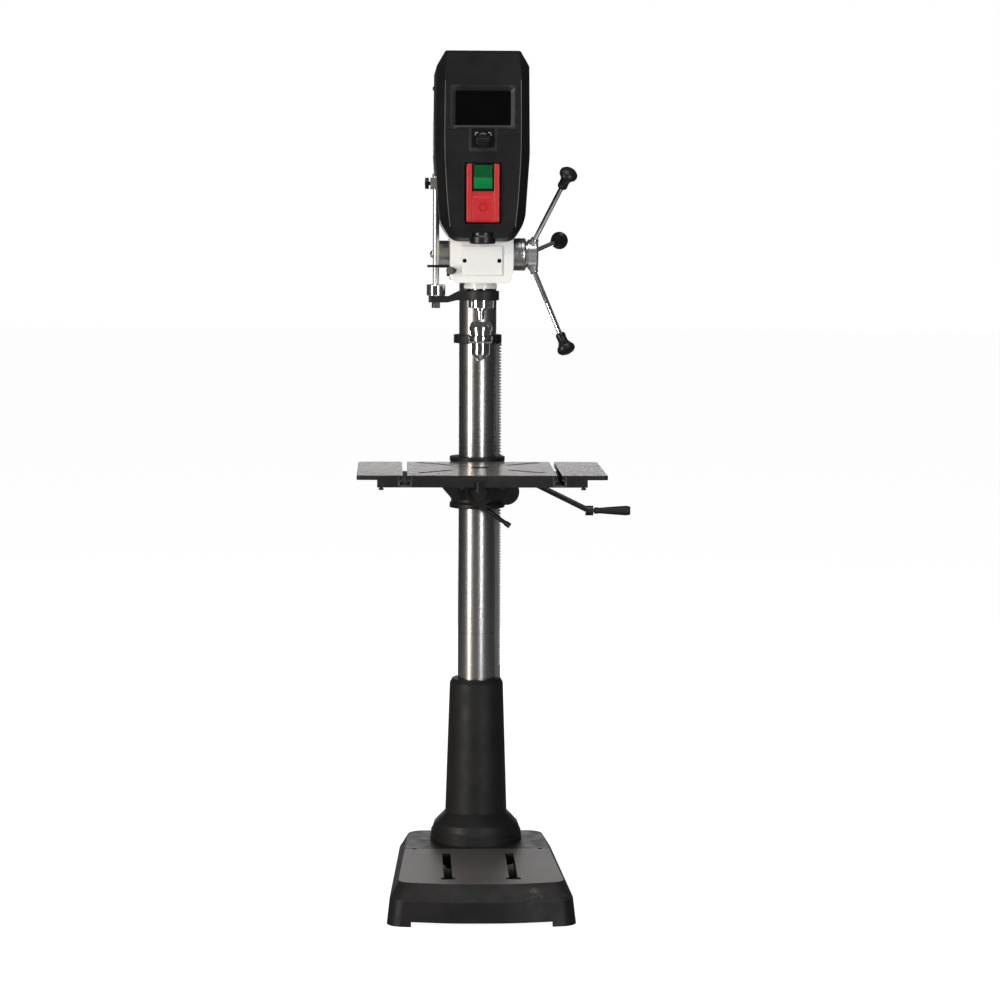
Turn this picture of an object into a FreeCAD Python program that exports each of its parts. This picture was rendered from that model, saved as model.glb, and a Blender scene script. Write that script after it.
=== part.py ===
"""Floor-standing drill press: a parametric assembly of separate pieces.

Frame: the origin is on the column's axis at floor level, +Z is up, -Y points to the operator
and +X to the operator's right. All sizes are millimetres.
"""
import FreeCAD, Part
import math
import os

import Sketcher
from FreeCAD import Placement, Rotation, Vector

doc = FreeCAD.newDocument("drill_press")
sheet = doc.addObject("Spreadsheet::Sheet", "dims")

DRIVING = {
    # base plate
    "base_top": 80, "base_plate": 20, "base_shoulder": 51, "base_back": 93, "base_front": 500,
    "base_top_front": 454, "base_half_front": 192, "base_half_back": 168, "base_wall": 13,
    "base_slot_x": 66, "base_slot_front": 407, "base_slot_back": 156, "base_slot_width": 17.5,
    "base_hole_x": 133, "base_hole_y": -110, "base_hole_r": 5.5,
    # column, its foot, the rack and the ring above it
    "column_radius": 40, "column_bore": 33, "column_low": 110, "column_high": 1425,
    "foot_flange_radius": 98, "foot_flange": 25, "foot_top": 430, "foot_top_radius": 57,
    "foot_low_radius": 65, "foot_bolt_circle": 158,
    "ring_low": 1148, "ring_height": 18, "ring_radius": 51,
    "rack_low": 432, "rack_high": 1147, "rack_tip": 50.5, "rack_width": 24,
    # gear teeth
    "tooth_module": 2, "tooth_slack": 0.25, "lift_teeth": 13, "feed_teeth": 18,
    # table and bracket
    "table_top": 900, "table_half": 252, "table_back": 64, "table_front": 403, "table_plate": 9,
    "apron_half": 211, "apron_deep": 24, "apron_wall": 8, "table_slot_x": 155.1,
    "table_slot_neck": 10, "table_hole_radius": 19, "tilt_axis_height": 842, "tilt_boss_radius": 28,
    "tilt_pin_radius": 10, "bracket_low": 798, "bracket_high": 907, "bracket_radius": 56,
    "bracket_flange_radius": 59, "gear_height": 832, "gear_case_radius": 28, "worm_rise": 22.5,
    "worm_y": 22, "crank_reach": 70,
    # head
    "quill_y": -212, "quill_radius": 26, "quill_low": 1229, "quill_high": 1519,
    "head_low": 1282, "head_high": 1440, "head_half": 64, "head_front": 300, "column_boss": 62,
    "feed_height": 1338, "feed_y": -170, "accessory_x": 35, "accessory_height": 1327,
    # covers
    "cover_half": 95, "cover_front": 345, "cover_split": 100, "cover_rear": 78, "cover_low": 1365,
    "cover_high": 1747, "cover_wall": 3,
    # controls
    "screen_half": 55, "screen_low": 1598, "screen_high": 1666, "dial_height": 1568,
    "paddle_half": 33, "paddle_low": 1405, "paddle_high": 1521,
    # motor
    "motor_low": 1530, "motor_high": 1690, "motor_radius": 82,
    # depth stop
    "rod_x": -92, "rod_y": -228, "rod_radius": 6.5, "rod_high": 1497,
    # fits
    "running_gap": 0.05,
}
for row, (alias, value) in enumerate(DRIVING.items(), start=1):
    sheet.set("A%d" % row, alias.replace("_", " "))
    sheet.set("B%d" % row, str(value))
    sheet.setAlias("B%d" % row, alias)
doc.recompute()


# ---------------------------------------------------------------- sizes tied to the sheet
class Size(float):
    """A number that keeps the spreadsheet formula it was worked out with."""

    def __new__(cls, value, formula=None):
        size = super().__new__(cls, value)
        size.formula = formula if formula else "%.6f" % value
        return size

    def joined(self, sign, other, value, other_first=False):
        other = other if isinstance(other, Size) else Size(other)
        left, right = (other, self) if other_first else (self, other)
        return Size(value, "(%s %s %s)" % (left.formula, sign, right.formula))

    def __add__(self, other):
        return self.joined("+", other, float(self) + float(other))

    def __radd__(self, other):
        return self.joined("+", other, float(self) + float(other), True)

    def __sub__(self, other):
        return self.joined("-", other, float(self) - float(other))

    def __rsub__(self, other):
        return self.joined("-", other, float(other) - float(self), True)

    def __mul__(self, other):
        return self.joined("*", other, float(self) * float(other))

    def __rmul__(self, other):
        return self.joined("*", other, float(self) * float(other), True)

    def __truediv__(self, other):
        return self.joined("/", other, float(self) / float(other))

    def __neg__(self):
        return Size(0.0).joined("-", self, -float(self))


class Dims:
    """Gives each cell of the sheet by its alias."""

    def __getattr__(self, alias):
        return Size(float(sheet.get(alias)), "dims." + alias)


d = Dims()
AXIS_X, AXIS_Y, AXIS_Z = (1, 0, 0), (0, 1, 0), (0, 0, 1)
sub_parts = []


def tied(size):
    return isinstance(size, Size) and "dims." in size.formula


def bind(obj, prop, size):
    """Set a property, tied to the sheet where its size comes from there."""
    if tied(size):
        obj.setExpression(prop, size.formula)
    else:
        setattr(obj, prop, float(size))


def place(obj, base=(0, 0, 0), axis=AXIS_Z, turn=0):
    """Put an object's own origin at base and its own Z along axis."""
    swing = Rotation(Vector(0, 0, 1), Vector(*axis))
    obj.Placement = Placement(Vector(*[float(v) for v in base]), swing * Rotation(Vector(0, 0, 1), turn))
    for letter, value in zip("xyz", base):
        if tied(value):
            obj.setExpression("Placement.Base." + letter, value.formula)
    return obj


def sub_part(obj, label):
    """Name an object as one of the press's separate pieces."""
    obj.Label = label
    sub_parts.append(obj)
    return obj


# ---------------------------------------------------------------- building blocks
def draw(sketch, corners):
    """Draw a closed outline, with each corner held at its distances from the origin."""
    first = sketch.GeometryCount
    count = len(corners)
    for i, start in enumerate(corners):
        end = corners[(i + 1) % count]
        sketch.addGeometry(Part.LineSegment(Vector(start[0], start[1], 0), Vector(end[0], end[1], 0)))
    for i, corner in enumerate(corners):
        line = first + i
        sketch.addConstraint(Sketcher.Constraint("Coincident", first + (i - 1) % count, 2, line, 1))
        for kind, ground, value in (("DistanceX", -2, corner[0]), ("DistanceY", -1, corner[1])):
            if abs(value) < 1e-9:
                sketch.addConstraint(Sketcher.Constraint("PointOnObject", line, 1, ground))
                continue
            index = sketch.addConstraint(Sketcher.Constraint(kind, -1, 1, line, 1, float(value)))
            if tied(value):
                sketch.setExpression("Constraints[%d]" % index, value.formula)


def new_sketch(body, plane):
    sketch = body.newObject("Sketcher::SketchObject", body.Name + "_sketch")
    origin_plane = [f for f in body.Origin.OriginFeatures if f.Role == plane][0]
    sketch.AttachmentSupport = [(origin_plane, "")]
    sketch.MapMode = "FlatFace"
    return sketch


def new_body(label):
    body = doc.addObject("PartDesign::Body", label)
    body.Label = label
    return body


def turned(label, outline, base=(0, 0, 0), axis=AXIS_Z):
    """A turned piece: (radius, height) corners revolved about its own Z."""
    body = new_body(label)
    sketch = new_sketch(body, "XZ_Plane")
    draw(sketch, outline)
    turning = body.newObject("PartDesign::Revolution", label + "_turning")
    turning.Profile = sketch
    turning.ReferenceAxis = (sketch, ["V_Axis"])
    turning.Angle = 360
    return place(body, base, axis)


def sleeve(label, outer, inner, low, high, base=(0, 0, 0), axis=AXIS_Z):
    return turned(label, [(inner, low), (outer, low), (outer, high), (inner, high)], base, axis)


def plate(label, outline, low, thick, plane="XY_Plane", base=(0, 0, 0)):
    """A flat piece: an outline padded away from its origin plane's far side."""
    body = new_body(label)
    sketch = new_sketch(body, plane)
    draw(sketch, outline)
    pad = body.newObject("PartDesign::Pad", label + "_pad")
    pad.Profile = sketch
    bind(pad, "Length", thick)
    if plane == "XY_Plane":
        return place(body, (base[0], base[1], base[2] + low))
    pad.Reversed = True
    return place(body, (base[0], base[1] + low, base[2]))


def rectangle(x_low, x_high, y_low, y_high):
    return [(x_low, y_low), (x_high, y_low), (x_high, y_high), (x_low, y_high)]


def soften(body, radius, test, kind="PartDesign::Fillet"):
    """Round or chamfer the edges of a body's tip that pass the test."""
    doc.recompute()
    tip = body.Tip
    names = ["Edge%d" % (i + 1) for i, e in enumerate(tip.Shape.Edges) if test(e)]
    feature = body.newObject(kind, body.Name + "_soft%d" % len(body.Group))
    feature.Base = (tip, names)
    bind(feature, "Size" if kind.endswith("Chamfer") else "Radius", radius)
    return body


def is_round(radius, height=None):
    """True for full circles of this radius, at this height in the body's own frame."""
    def test(edge):
        curve = edge.Curve
        if not hasattr(curve, "Radius") or abs(curve.Radius - float(radius)) > 1e-4:
            return False
        return height is None or abs(edge.BoundBox.Center.z - float(height)) < 1e-4
    return test


def is_upright(edge):
    box = edge.BoundBox
    return box.XLength < 1e-6 and box.YLength < 1e-6 and box.ZLength > 1e-6


def is_along_y(edge):
    box = edge.BoundBox
    return box.XLength < 1e-6 and box.ZLength < 1e-6 and box.YLength > 1e-6


def block(name, x_low, x_high, y_low, y_high, z_low, z_high):
    box = doc.addObject("Part::Box", name)
    for prop, low, high in (("Length", x_low, x_high), ("Width", y_low, y_high), ("Height", z_low, z_high)):
        bind(box, prop, (high - low) if isinstance(high, Size) or isinstance(low, Size) else Size(high - low))
    return place(box, (x_low, y_low, z_low))


def cylinder(name, radius, length, base, axis=AXIS_Z):
    bar = doc.addObject("Part::Cylinder", name)
    bind(bar, "Radius", radius)
    bind(bar, "Height", length)
    return place(bar, base, axis)


def hexagon(name, across_flats, length, base, axis=AXIS_Z):
    prism = doc.addObject("Part::Prism", name)
    prism.Polygon = 6
    bind(prism, "Circumradius", across_flats / math.sqrt(3))
    bind(prism, "Height", length)
    return place(prism, base, axis)


def union(name, shapes):
    """Join shapes one after another."""
    whole = shapes[0]
    for i, shape in enumerate(shapes[1:], start=1):
        last = i == len(shapes) - 1
        joint = doc.addObject("Part::Fuse", name if last else "%s_join%d" % (name, i))
        joint.Base, joint.Tool = whole, shape
        joint.Refine = last and not name.endswith("blank")
        whole = joint
    return whole


def minus(name, base, tools):
    """Take tools away from a base one after another."""
    rest = base
    for i, tool in enumerate(tools, start=1):
        last = i == len(tools)
        cut = doc.addObject("Part::Cut", name if last else "%s_cut%d" % (name, i))
        cut.Base, cut.Tool = rest, tool
        cut.Refine = last
        rest = cut
    return rest


def group(name, shapes):
    """Identical fasteners kept together as separate solids."""
    bundle = doc.addObject("Part::Compound", name)
    bundle.Links = shapes
    return bundle


def solid(name, shape):
    feature = doc.addObject("Part::Feature", name)
    feature.Shape = shape
    return feature


def rounded_wire(corners, radii, height, to_world):
    """A closed wire of lines and tangent arcs through corners, rounded by radii."""
    points, count, edges = [Vector(x, y, 0) for x, y in corners], len(corners), []
    cuts = []
    for i, corner in enumerate(points):
        before = (points[i - 1] - corner).normalize()
        after = (points[(i + 1) % count] - corner).normalize()
        half = before.getAngle(after) / 2
        reach = radii[i] / math.tan(half)
        middle = corner + (before + after).normalize() * (radii[i] / math.sin(half) - radii[i])
        cuts.append((corner + before * reach, middle, corner + after * reach))
    for i, (start, middle, end) in enumerate(cuts):
        lift = [to_world(p.x, p.y, height) for p in (start, middle, end)]
        edges.append(Part.Arc(*lift).toShape())
        following = cuts[(i + 1) % count][0]
        edges.append(Part.makeLine(lift[2], to_world(following.x, following.y, height)))
    return Part.Wire(edges)


def flat_on_z(x, y, height):
    return Vector(x, y, height)


def flat_on_y(x, z, y):
    return Vector(x, y, z)


def lofted(sections):
    return Part.makeLoft(sections, True, True)


def around(radius, degrees, height=0.0):
    angle = math.radians(degrees)
    return (radius * math.cos(angle), radius * math.sin(angle), height)


# ---------------------------------------------------------------- gear teeth
def involute(value):
    return math.tan(value) - value


def gear_face(teeth, module, slack, phase):
    """The outline of a spur gear, one tooth centred at the phase angle."""
    pressure = math.radians(20)
    pitch = module * teeth / 2
    root, tip, base = pitch - 1.25 * module, pitch + module, pitch * math.cos(pressure)
    half = math.pi / (2 * teeth) - slack / pitch
    flank = []
    steps = 5
    for step in range(steps + 1):
        radius = max(root, base) + (tip - max(root, base)) * step / steps
        lean = half + involute(pressure) - involute(math.acos(min(1.0, base / radius)))
        flank.append((radius, max(lean, 0.01)))
    if root < base:
        flank.insert(0, (root, flank[0][1]))
    points = []
    for tooth in range(teeth):
        centre = phase + 2 * math.pi * tooth / teeth
        points += [(r, centre - lean) for r, lean in flank]
        points += [(r, centre + lean) for r, lean in reversed(flank)]
    corners = [Vector(r * math.cos(a), r * math.sin(a), 0) for r, a in points]
    return Part.Face(Part.makePolygon(corners + corners[:1]))


def rack_corners(low, high, gap_at, module, slack, root, tip):
    """Corners of a toothed edge as (distance out, height), with a gap centred at gap_at."""
    pitch = math.pi * module
    rise = math.tan(math.radians(20))
    at_root = (pitch / 4 + slack) - 1.25 * module * rise
    at_tip = (pitch / 4 + slack) + module * rise
    corners = []
    first = math.ceil((low + at_tip - gap_at) / pitch)
    last = math.floor((high - at_tip - gap_at) / pitch)
    for gap in range(first, last + 1):
        height = gap_at + gap * pitch
        corners += [(tip, height - at_tip), (root, height - at_root),
                    (root, height + at_root), (tip, height + at_tip)]
    return corners


# ---------------------------------------------------------------- base
def make_base():
    """Hollow cast base: sloped skirt, shoulder bevel, bowed front, flat top with two T-bolt slots."""
    front, back, top = float(d.base_front), float(d.base_back), float(d.base_top)
    half_front, half_back = float(d.base_half_front), float(d.base_half_back)
    shoulder = float(d.base_shoulder)
    corner = 34
    skirt_lean, front_lean = 6, 10
    bow, bow_half, bow_radius = 24, 60, 400

    def outline(inset, front_inset, height, radius):
        y = -front + front_inset
        corners = [(-half_front + inset, y + bow), (-bow_half, y), (bow_half, y),
                   (half_front - inset, y + bow),
                   (half_back - inset, back - inset * 0.4), (-half_back + inset, back - inset * 0.4)]
        return rounded_wire(corners, [radius, bow_radius, bow_radius, radius, radius + 8, radius + 8], height,
                            flat_on_z)

    top_inset, top_front = half_front - 168, front - float(d.base_top_front)
    skirt = lofted([outline(0, 0, 0, corner), outline(skirt_lean, front_lean, shoulder, corner)])
    bevel = lofted([outline(skirt_lean, front_lean, shoulder, corner),
                    outline(top_inset, top_front, top, corner - 8)])
    wall = float(d.base_wall)
    ceiling = top - float(d.base_plate)
    hollow = lofted([outline(wall, wall, -1, corner - wall),
                     outline(skirt_lean + wall, front_lean + wall, shoulder - 4, corner - wall)])
    attic = lofted([outline(skirt_lean + wall, front_lean + wall, shoulder - 4, corner - wall),
                    outline(top_inset + wall, top_front - 4 + wall, ceiling, corner - wall - 6)])
    shape = skirt.fuse(bevel).cut(hollow).cut(attic)
    arch, arch_half = 11, 150
    for y_low, y_high in ((-front - 5, -front + 60), (back - 60, back + 5)):
        shape = shape.cut(Part.makeBox(2 * (arch_half - 8), y_high - y_low, arch,
                                       Vector(8 - arch_half, y_low, -1)))
    for x_low in (-half_front - 5, half_front - 60):
        shape = shape.cut(Part.makeBox(65, 400, arch - 1, Vector(x_low, -380, -1)))
    boss = Part.makeCylinder(float(d.foot_flange_radius) - 4, 40, Vector(0, 0, top - 45))
    boss = boss.cut(Part.makeCylinder(52, 60, Vector(0, 0, top - 50)))
    shape = shape.fuse(boss)
    for x in (-110, 0, 110):
        shape = shape.fuse(Part.makeBox(9, front - 145, 34, Vector(x - 4.5, -front + 50, ceiling - 30)))
    shape = shape.cut(Part.makeCylinder(52, 100, Vector(0, 0, -5)))
    slot_half = float(d.base_slot_width) / 2
    for side in (-1, 1):
        x = side * float(d.base_slot_x)
        low, high = -float(d.base_slot_front), -float(d.base_slot_back)
        neck = Part.makeBox(2 * slot_half, high - low, 80, Vector(x - slot_half, low, 40))
        mouth = Part.makeBox(30, 16, 80, Vector(x - 15, low, 40))
        shape = shape.cut(neck.fuse(mouth))
        hole = Part.makeCylinder(float(d.base_hole_r), 60,
                                 Vector(side * float(d.base_hole_x), float(d.base_hole_y), 40))
        shape = shape.cut(hole)
    for spot in foot_bolt_spots():
        shape = shape.cut(Part.makeCylinder(6.5, 80, Vector(spot[0], spot[1], 20)))
    base = solid("base_casting_shape", shape.removeSplitter())
    return sub_part(base, "base_casting")


def foot_bolt_spots():
    radius = float(d.foot_bolt_circle) / 2
    return [around(radius, 45 + 90 * i) for i in range(4)]


def make_column():
    top, flange = d.base_top, d.base_top + d.foot_flange
    foot = turned("column_foot_blank", [
        (53, top), (d.foot_flange_radius, top), (d.foot_flange_radius, top + 9),
        (d.foot_flange_radius - 1.5, top + 11), (d.foot_flange_radius - 1.5, flange - 4),
        (d.foot_flange_radius - 4, flange), (d.foot_low_radius + 24, flange + 14),
        (d.foot_low_radius + 12, flange + 27), (d.foot_low_radius + 1, flange + 38),
        (d.foot_top_radius, d.foot_top - 9), (d.foot_top_radius - 5, d.foot_top),
        (d.column_radius + d.running_gap, d.foot_top), (d.column_radius + d.running_gap, d.column_low),
        (53, d.column_low)])
    holes = [cylinder("foot_bolt_hole%d" % i, 5.4, 34, (x, y, float(d.base_top) - 1))
             for i, (x, y, _z) in enumerate(foot_bolt_spots())]
    screw_holes = [cylinder("foot_screw_hole%d" % i, 5.2, 40, (0, 35, z), AXIS_Y)
                   for i, z in enumerate((250, 390))]
    sub_part(minus("column_foot_shape", foot, holes + screw_holes), "column_foot")
    bolts = []
    for i, (x, y, _z) in enumerate(foot_bolt_spots()):
        head = hexagon("foot_bolt_head%d" % i, 18, 8, (x, y, d.base_top - 45 - 8.05))
        shank = cylinder("foot_bolt_shank%d" % i, 5.3, 75, (x, y, d.base_top - 45 - 1))
        bolts.append(union("foot_bolt%d" % i, [head, shank]))
    sub_part(group("foot_bolt_group", bolts), "column_foot_bolts")
    column = sleeve("column", d.column_radius, d.column_bore, d.column_low + 2, d.column_high)
    sub_part(column, "column")


def make_rack():
    """Straight rack lying along the column, teeth outwards, and the ring that keeps it there."""
    module, slack, tip = float(d.tooth_module), float(d.tooth_slack), float(d.rack_tip)
    low, high, half = float(d.rack_low), float(d.rack_high), float(d.rack_width) / 2
    teeth_low = low + 22
    corners = [(36, low), (tip, low)]
    corners += rack_corners(teeth_low, high - 4, float(d.gear_height), module, slack, tip - 2.25 * module,
                            tip)
    corners += [(tip, high), (36, high)]
    points = [Vector(x, -half, z) for x, z in corners]
    bar = Part.Face(Part.makePolygon(points + points[:1])).extrude(Vector(0, 2 * half, 0))
    bar = bar.cut(Part.makeCylinder(float(d.column_radius) + 0.3, high, Vector(0, 0, 0)))
    sub_part(solid("column_rack_shape", bar), "column_rack")
    ring = turned("rack_ring_blank", [
        (d.column_radius + d.running_gap, d.ring_low), (d.ring_radius, d.ring_low),
        (d.ring_radius, d.ring_low + d.ring_height),
        (d.column_radius + d.running_gap, d.ring_low + d.ring_height)])
    soften(ring, 1.5, is_round(d.ring_radius))
    hole = cylinder("ring_screw_hole", 3.1, 20, around(36, -42, float(d.ring_low) + 9), around(1, -42))
    sub_part(minus("rack_ring_shape", ring, [hole]), "rack_ring")
    screw = union("ring_screw_shape", [
        cylinder("ring_screw_shank", 3.0, 14, around(40.2, -42, float(d.ring_low) + 9), around(1, -42)),
        cylinder("ring_screw_head", 4.4, 5, around(51.4, -42, float(d.ring_low) + 9), around(1, -42))])
    sub_part(screw, "rack_ring_screw")


# ---------------------------------------------------------------- table and its bracket
def table_slots():
    """Tools that cut the two T-slots, the centre hole and the four diagonal slots."""
    back, front, top = -d.table_back, -d.table_front, d.table_top
    tools = []
    for side in (-1, 1):
        x = side * d.table_slot_x
        tools.append(block("table_neck%d" % side, x - d.table_slot_neck / 2, x + d.table_slot_neck / 2,
                           front - 5, back + 5, top - 14, top + 5))
        tools.append(block("table_tee%d" % side, x - 10, x + 10, front - 5, back + 5, top - 20, top - 11))
    tools.append(cylinder("table_hole", d.table_hole_radius, 60, (0, d.quill_y, top - 40)))
    for i in range(4):
        slot = block("diagonal%d" % i, 80, 180, -6.5, 6.5, 0, 60)
        angle = 45 + 90 * i
        slot.Placement = (Placement(Vector(*around(80, angle)) + Vector(0, float(d.quill_y), float(top) - 50),
                                    Rotation(Vector(0, 0, 1), angle))
                          * Placement(Vector(0, -6.5, 0), Rotation()))
        tools.append(slot)
    return tools


def make_table():
    """Cast table: ground plate with T-slots, an apron below it and a boss for the tilt bolt."""
    back, front, top, wall = -d.table_back, -d.table_front, d.table_top, d.apron_wall
    low, under, side = top - d.apron_deep, top - d.table_plate, d.apron_half
    slab = plate("table_slab", rectangle(-d.table_half, d.table_half, front, back), under, d.table_plate)
    soften(slab, 9, is_upright)
    slab_top = float(d.table_plate)

    def rim(edge):
        return abs(edge.BoundBox.ZMin - slab_top) < 1e-5 and abs(edge.BoundBox.ZMax - slab_top) < 1e-5

    soften(slab, 1.2, rim, "PartDesign::Chamfer")
    pieces = [slab,
              block("apron_front", -side, side, front, front + wall, low, under + 1),
              block("apron_left", -side, wall - side, front, back, low, under + 1),
              block("apron_right", side - wall, side, front, back, low, under + 1),
              block("apron_back_left", -side, -62, back - wall, back, low, under + 1),
              block("apron_back_right", 62, side, back - wall, back, low, under + 1)]
    for sign in (-1, 1):
        x = sign * d.table_slot_x
        pieces.append(block("tee_box%d" % sign, x - 13.5, x + 13.5, front, back, top - 23, top - 3))
        pieces.append(block("table_rib%d" % sign, 40 * sign - 4, 40 * sign + 4, front + 4, -119, low - 4,
                            under + 2))
    axis = d.tilt_axis_height
    hanger = union("table_hanger", [
        cylinder("tilt_boss", d.tilt_boss_radius, 44, (0, -111, axis), (0, -1, 0)),
        block("tilt_neck", -26, 26, -150, -111, axis, under + 1)])
    web = [(-54, axis - 18), (54, axis - 18), (95, axis + 30), (95, under + 1), (-95, under + 1),
           (-95, axis + 30)]
    hanger = union("table_pivot", [hanger, plate("tilt_web", web, -126, 14, "XZ_Plane")])
    frame = union("table_frame", [union("table_tray", pieces), hanger])
    boss = cylinder("hole_boss", d.table_hole_radius + 13, 18, (0, d.quill_y, under - 16))
    tools = table_slots()
    tools.append(cylinder("tilt_bore", d.tilt_pin_radius + d.running_gap, 80, (0, -100, axis), (0, -1, 0)))
    for i, (x, y) in enumerate(((-203, -395), (203, -395))):
        tools.append(cylinder("apron_hole%d" % i, 3.6, 20, (x, y, low - 5)))
    sub_part(minus("table_shape", union("table_blank", [frame, boss]), tools), "table_casting")
    screws = []
    for i, (x, y, z) in enumerate(((-203, -395, low - 5), (203, -395, low - 5), (-9, -408.2, low - 9))):
        shank = cylinder("apron_shank%d" % i, 3.5, 17, (x, y, z))
        head = cylinder("apron_head%d" % i, 5, 3.5, (x, y, z - 0.5))
        screws.append(union("apron_screw%d" % i, [shank, head]))
    lug = block("apron_lug", -14, -4, -412, -403.05, low + 8, low + 13)
    screws[2] = union("apron_screw_lug", [screws[2], lug])
    sub_part(group("apron_screw_group", screws), "apron_screws")


def make_bracket():
    """Sleeve that slides on the column, with the tilt arm, the gear case and the lock boss."""
    low, high, body_r, rim_r = d.bracket_low, d.bracket_high, d.bracket_radius, d.bracket_flange_radius
    gear_x, gear_z = d.rack_tip - d.tooth_module + d.tooth_module * d.lift_teeth / 2, d.gear_height
    worm_z, worm_y = gear_z + d.worm_rise, d.worm_y
    barrel = turned("bracket_barrel", [(30, low), (rim_r, low), (rim_r, low + 9), (body_r, low + 13),
                                       (body_r, high - 13), (rim_r, high - 9), (rim_r, high), (30, high)])
    soften(barrel, 1.5, is_round(rim_r))
    case = cylinder("gear_case", d.gear_case_radius, 63, (gear_x, -22, gear_z), AXIS_Y)
    pieces = [barrel, case,
              block("gear_case_bridge", 46, gear_x, -22, 36, gear_z - d.gear_case_radius, worm_z + 6),
              cylinder("worm_case", 15, 50, (44, worm_y, worm_z), AXIS_X),
              cylinder("tilt_arm", d.tilt_boss_radius, 65, (0, -45, d.tilt_axis_height), (0, -1, 0)),
              cylinder("lock_boss", 9, 24, (10, -46, low + 7), (0, -1, 0))]
    tools = [cylinder("bracket_bore", d.column_radius + 0.06, 130, (0, 0, low - 5)),
             block("rack_channel", 20, d.rack_tip + 0.7, -d.rack_width / 2 - 0.6, d.rack_width / 2 + 0.6,
                   low - 5, high + 5),
             cylinder("gear_cavity", 16.5, 56, (gear_x, -13, gear_z), AXIS_Y),
             cylinder("gear_journal", 6.05, 20, (gear_x, -25, gear_z), AXIS_Y),
             cylinder("worm_cavity", 9.4, 36, (54, worm_y, worm_z), AXIS_X),
             cylinder("worm_journal", 6.05, 60, (44, worm_y, worm_z), AXIS_X),
             cylinder("tilt_seat", d.tilt_pin_radius + 0.02, 45, (0, -68, d.tilt_axis_height), (0, -1, 0)),
             cylinder("lock_bore", 5.05, 40, (10, -36, low + 7), (0, -1, 0))]
    sub_part(minus("bracket_shape", union("bracket_blank", pieces), tools), "table_bracket")
    bolt = union("tilt_bolt_shape", [
        cylinder("tilt_bolt_shank", d.tilt_pin_radius, 98, (0, -69, d.tilt_axis_height), (0, -1, 0)),
        cylinder("tilt_washer", 17, 3, (0, -155.4, d.tilt_axis_height), (0, -1, 0)),
        hexagon("tilt_nut", 28, 14, (0, -158, d.tilt_axis_height), (0, -1, 0))])
    sub_part(bolt, "tilt_bolt")
    cover = minus("gear_cover_shape", cylinder("gear_cover_disc", 22.5, 5, (gear_x, 41.05, gear_z), AXIS_Y),
                  [cylinder("gear_cover_bore", 6.05, 20, (gear_x, 30, gear_z), AXIS_Y)])
    sub_part(cover, "gear_cover")


def make_lift_drive():
    """Pinion, worm wheel, worm shaft and crank that raise the table along the rack."""
    module, slack = float(d.tooth_module), float(d.tooth_slack)
    gear_x = float(d.rack_tip) - module + module * float(d.lift_teeth) / 2
    gear_z, worm_z, worm_y = float(d.gear_height), float(d.gear_height + d.worm_rise), float(d.worm_y)
    lay = Placement(Vector(gear_x, 0, gear_z), Rotation(Vector(1, 0, 0), 90))
    teeth = gear_face(int(d.lift_teeth), module, slack, math.pi).extrude(Vector(0, 0, 22))
    teeth.translate(Vector(0, 0, -11))
    wheel = gear_face(14, 1.65, 0.3, 0.1).extrude(Vector(0, 0, 14))
    wheel.translate(Vector(0, 0, -worm_y - 7))
    shaft = Part.makeCylinder(6, 65, Vector(0, 0, -45))
    pinion = teeth.fuse(shaft).fuse(wheel)
    pinion.Placement = lay
    sub_part(solid("lift_gear_shape", pinion), "lift_gear")
    worm = turned("worm_shaft", [(0, 50), (6, 50), (6, 58), (9, 59), (9, 86), (6, 87), (6, 117), (0, 117)],
                  (0, d.worm_y, d.gear_height + d.worm_rise), AXIS_X)
    sub_part(worm, "worm_shaft")
    drop = 63.5
    forward = math.sqrt(float(d.crank_reach) ** 2 - drop ** 2)
    hub, eye = Vector(106, worm_y, worm_z), Vector(239, worm_y - forward, worm_z - drop)
    along = (eye - hub)
    hub_block = Part.makeCylinder(13, 20, Vector(96, worm_y, worm_z), Vector(1, 0, 0))
    eye_block = Part.makeCylinder(10.5, 17, eye - Vector(8, 0, 0), Vector(1, 0, 0))
    bar = Part.makeCylinder(6, along.Length, hub, along)
    arm = hub_block.fuse(eye_block).fuse(bar).removeSplitter()
    arm = arm.cut(Part.makeCylinder(6.01, 40, Vector(90, worm_y, worm_z), Vector(1, 0, 0)))
    pin = Part.makeCylinder(4, 88, eye - Vector(4, 0, 0), Vector(1, 0, 0))
    pin_head = Part.makeCylinder(6, 3, eye + Vector(84, 0, 0), Vector(1, 0, 0))
    sub_part(solid("crank_arm_shape", arm.fuse(pin).fuse(pin_head)), "crank_arm")
    grip = turned("crank_grip", [(4.08, 11), (6.4, 11), (7.2, 16), (6.2, 22), (8, 44), (9.6, 66), (10.4, 80),
                                 (8.8, 88), (6.5, 88), (6.5, 83.6), (4.08, 83.6)],
                  (eye.x, eye.y, eye.z), AXIS_X)
    soften(grip, 3, is_round(10.4))
    sub_part(grip, "crank_grip")


def make_column_lock():
    """Clamp screw in the bracket's boss, with its slanting lever."""
    height = d.bracket_low + 7
    screw = turned("lock_screw", [(0, 41), (4.2, 41), (5, 42), (5, 72), (8, 72), (8, 85), (0, 85)],
                   (10, 0, height), (0, -1, 0))
    lever = turned("lock_arm", [(0, 2), (4.5, 2), (4.5, 58), (5.8, 59), (5.8, 70), (0, 70)],
                   (10, -78.5, height), (0.82, 0, -0.572))
    sub_part(union("lock_lever_shape", [screw, lever]), "column_lock_lever")


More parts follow.
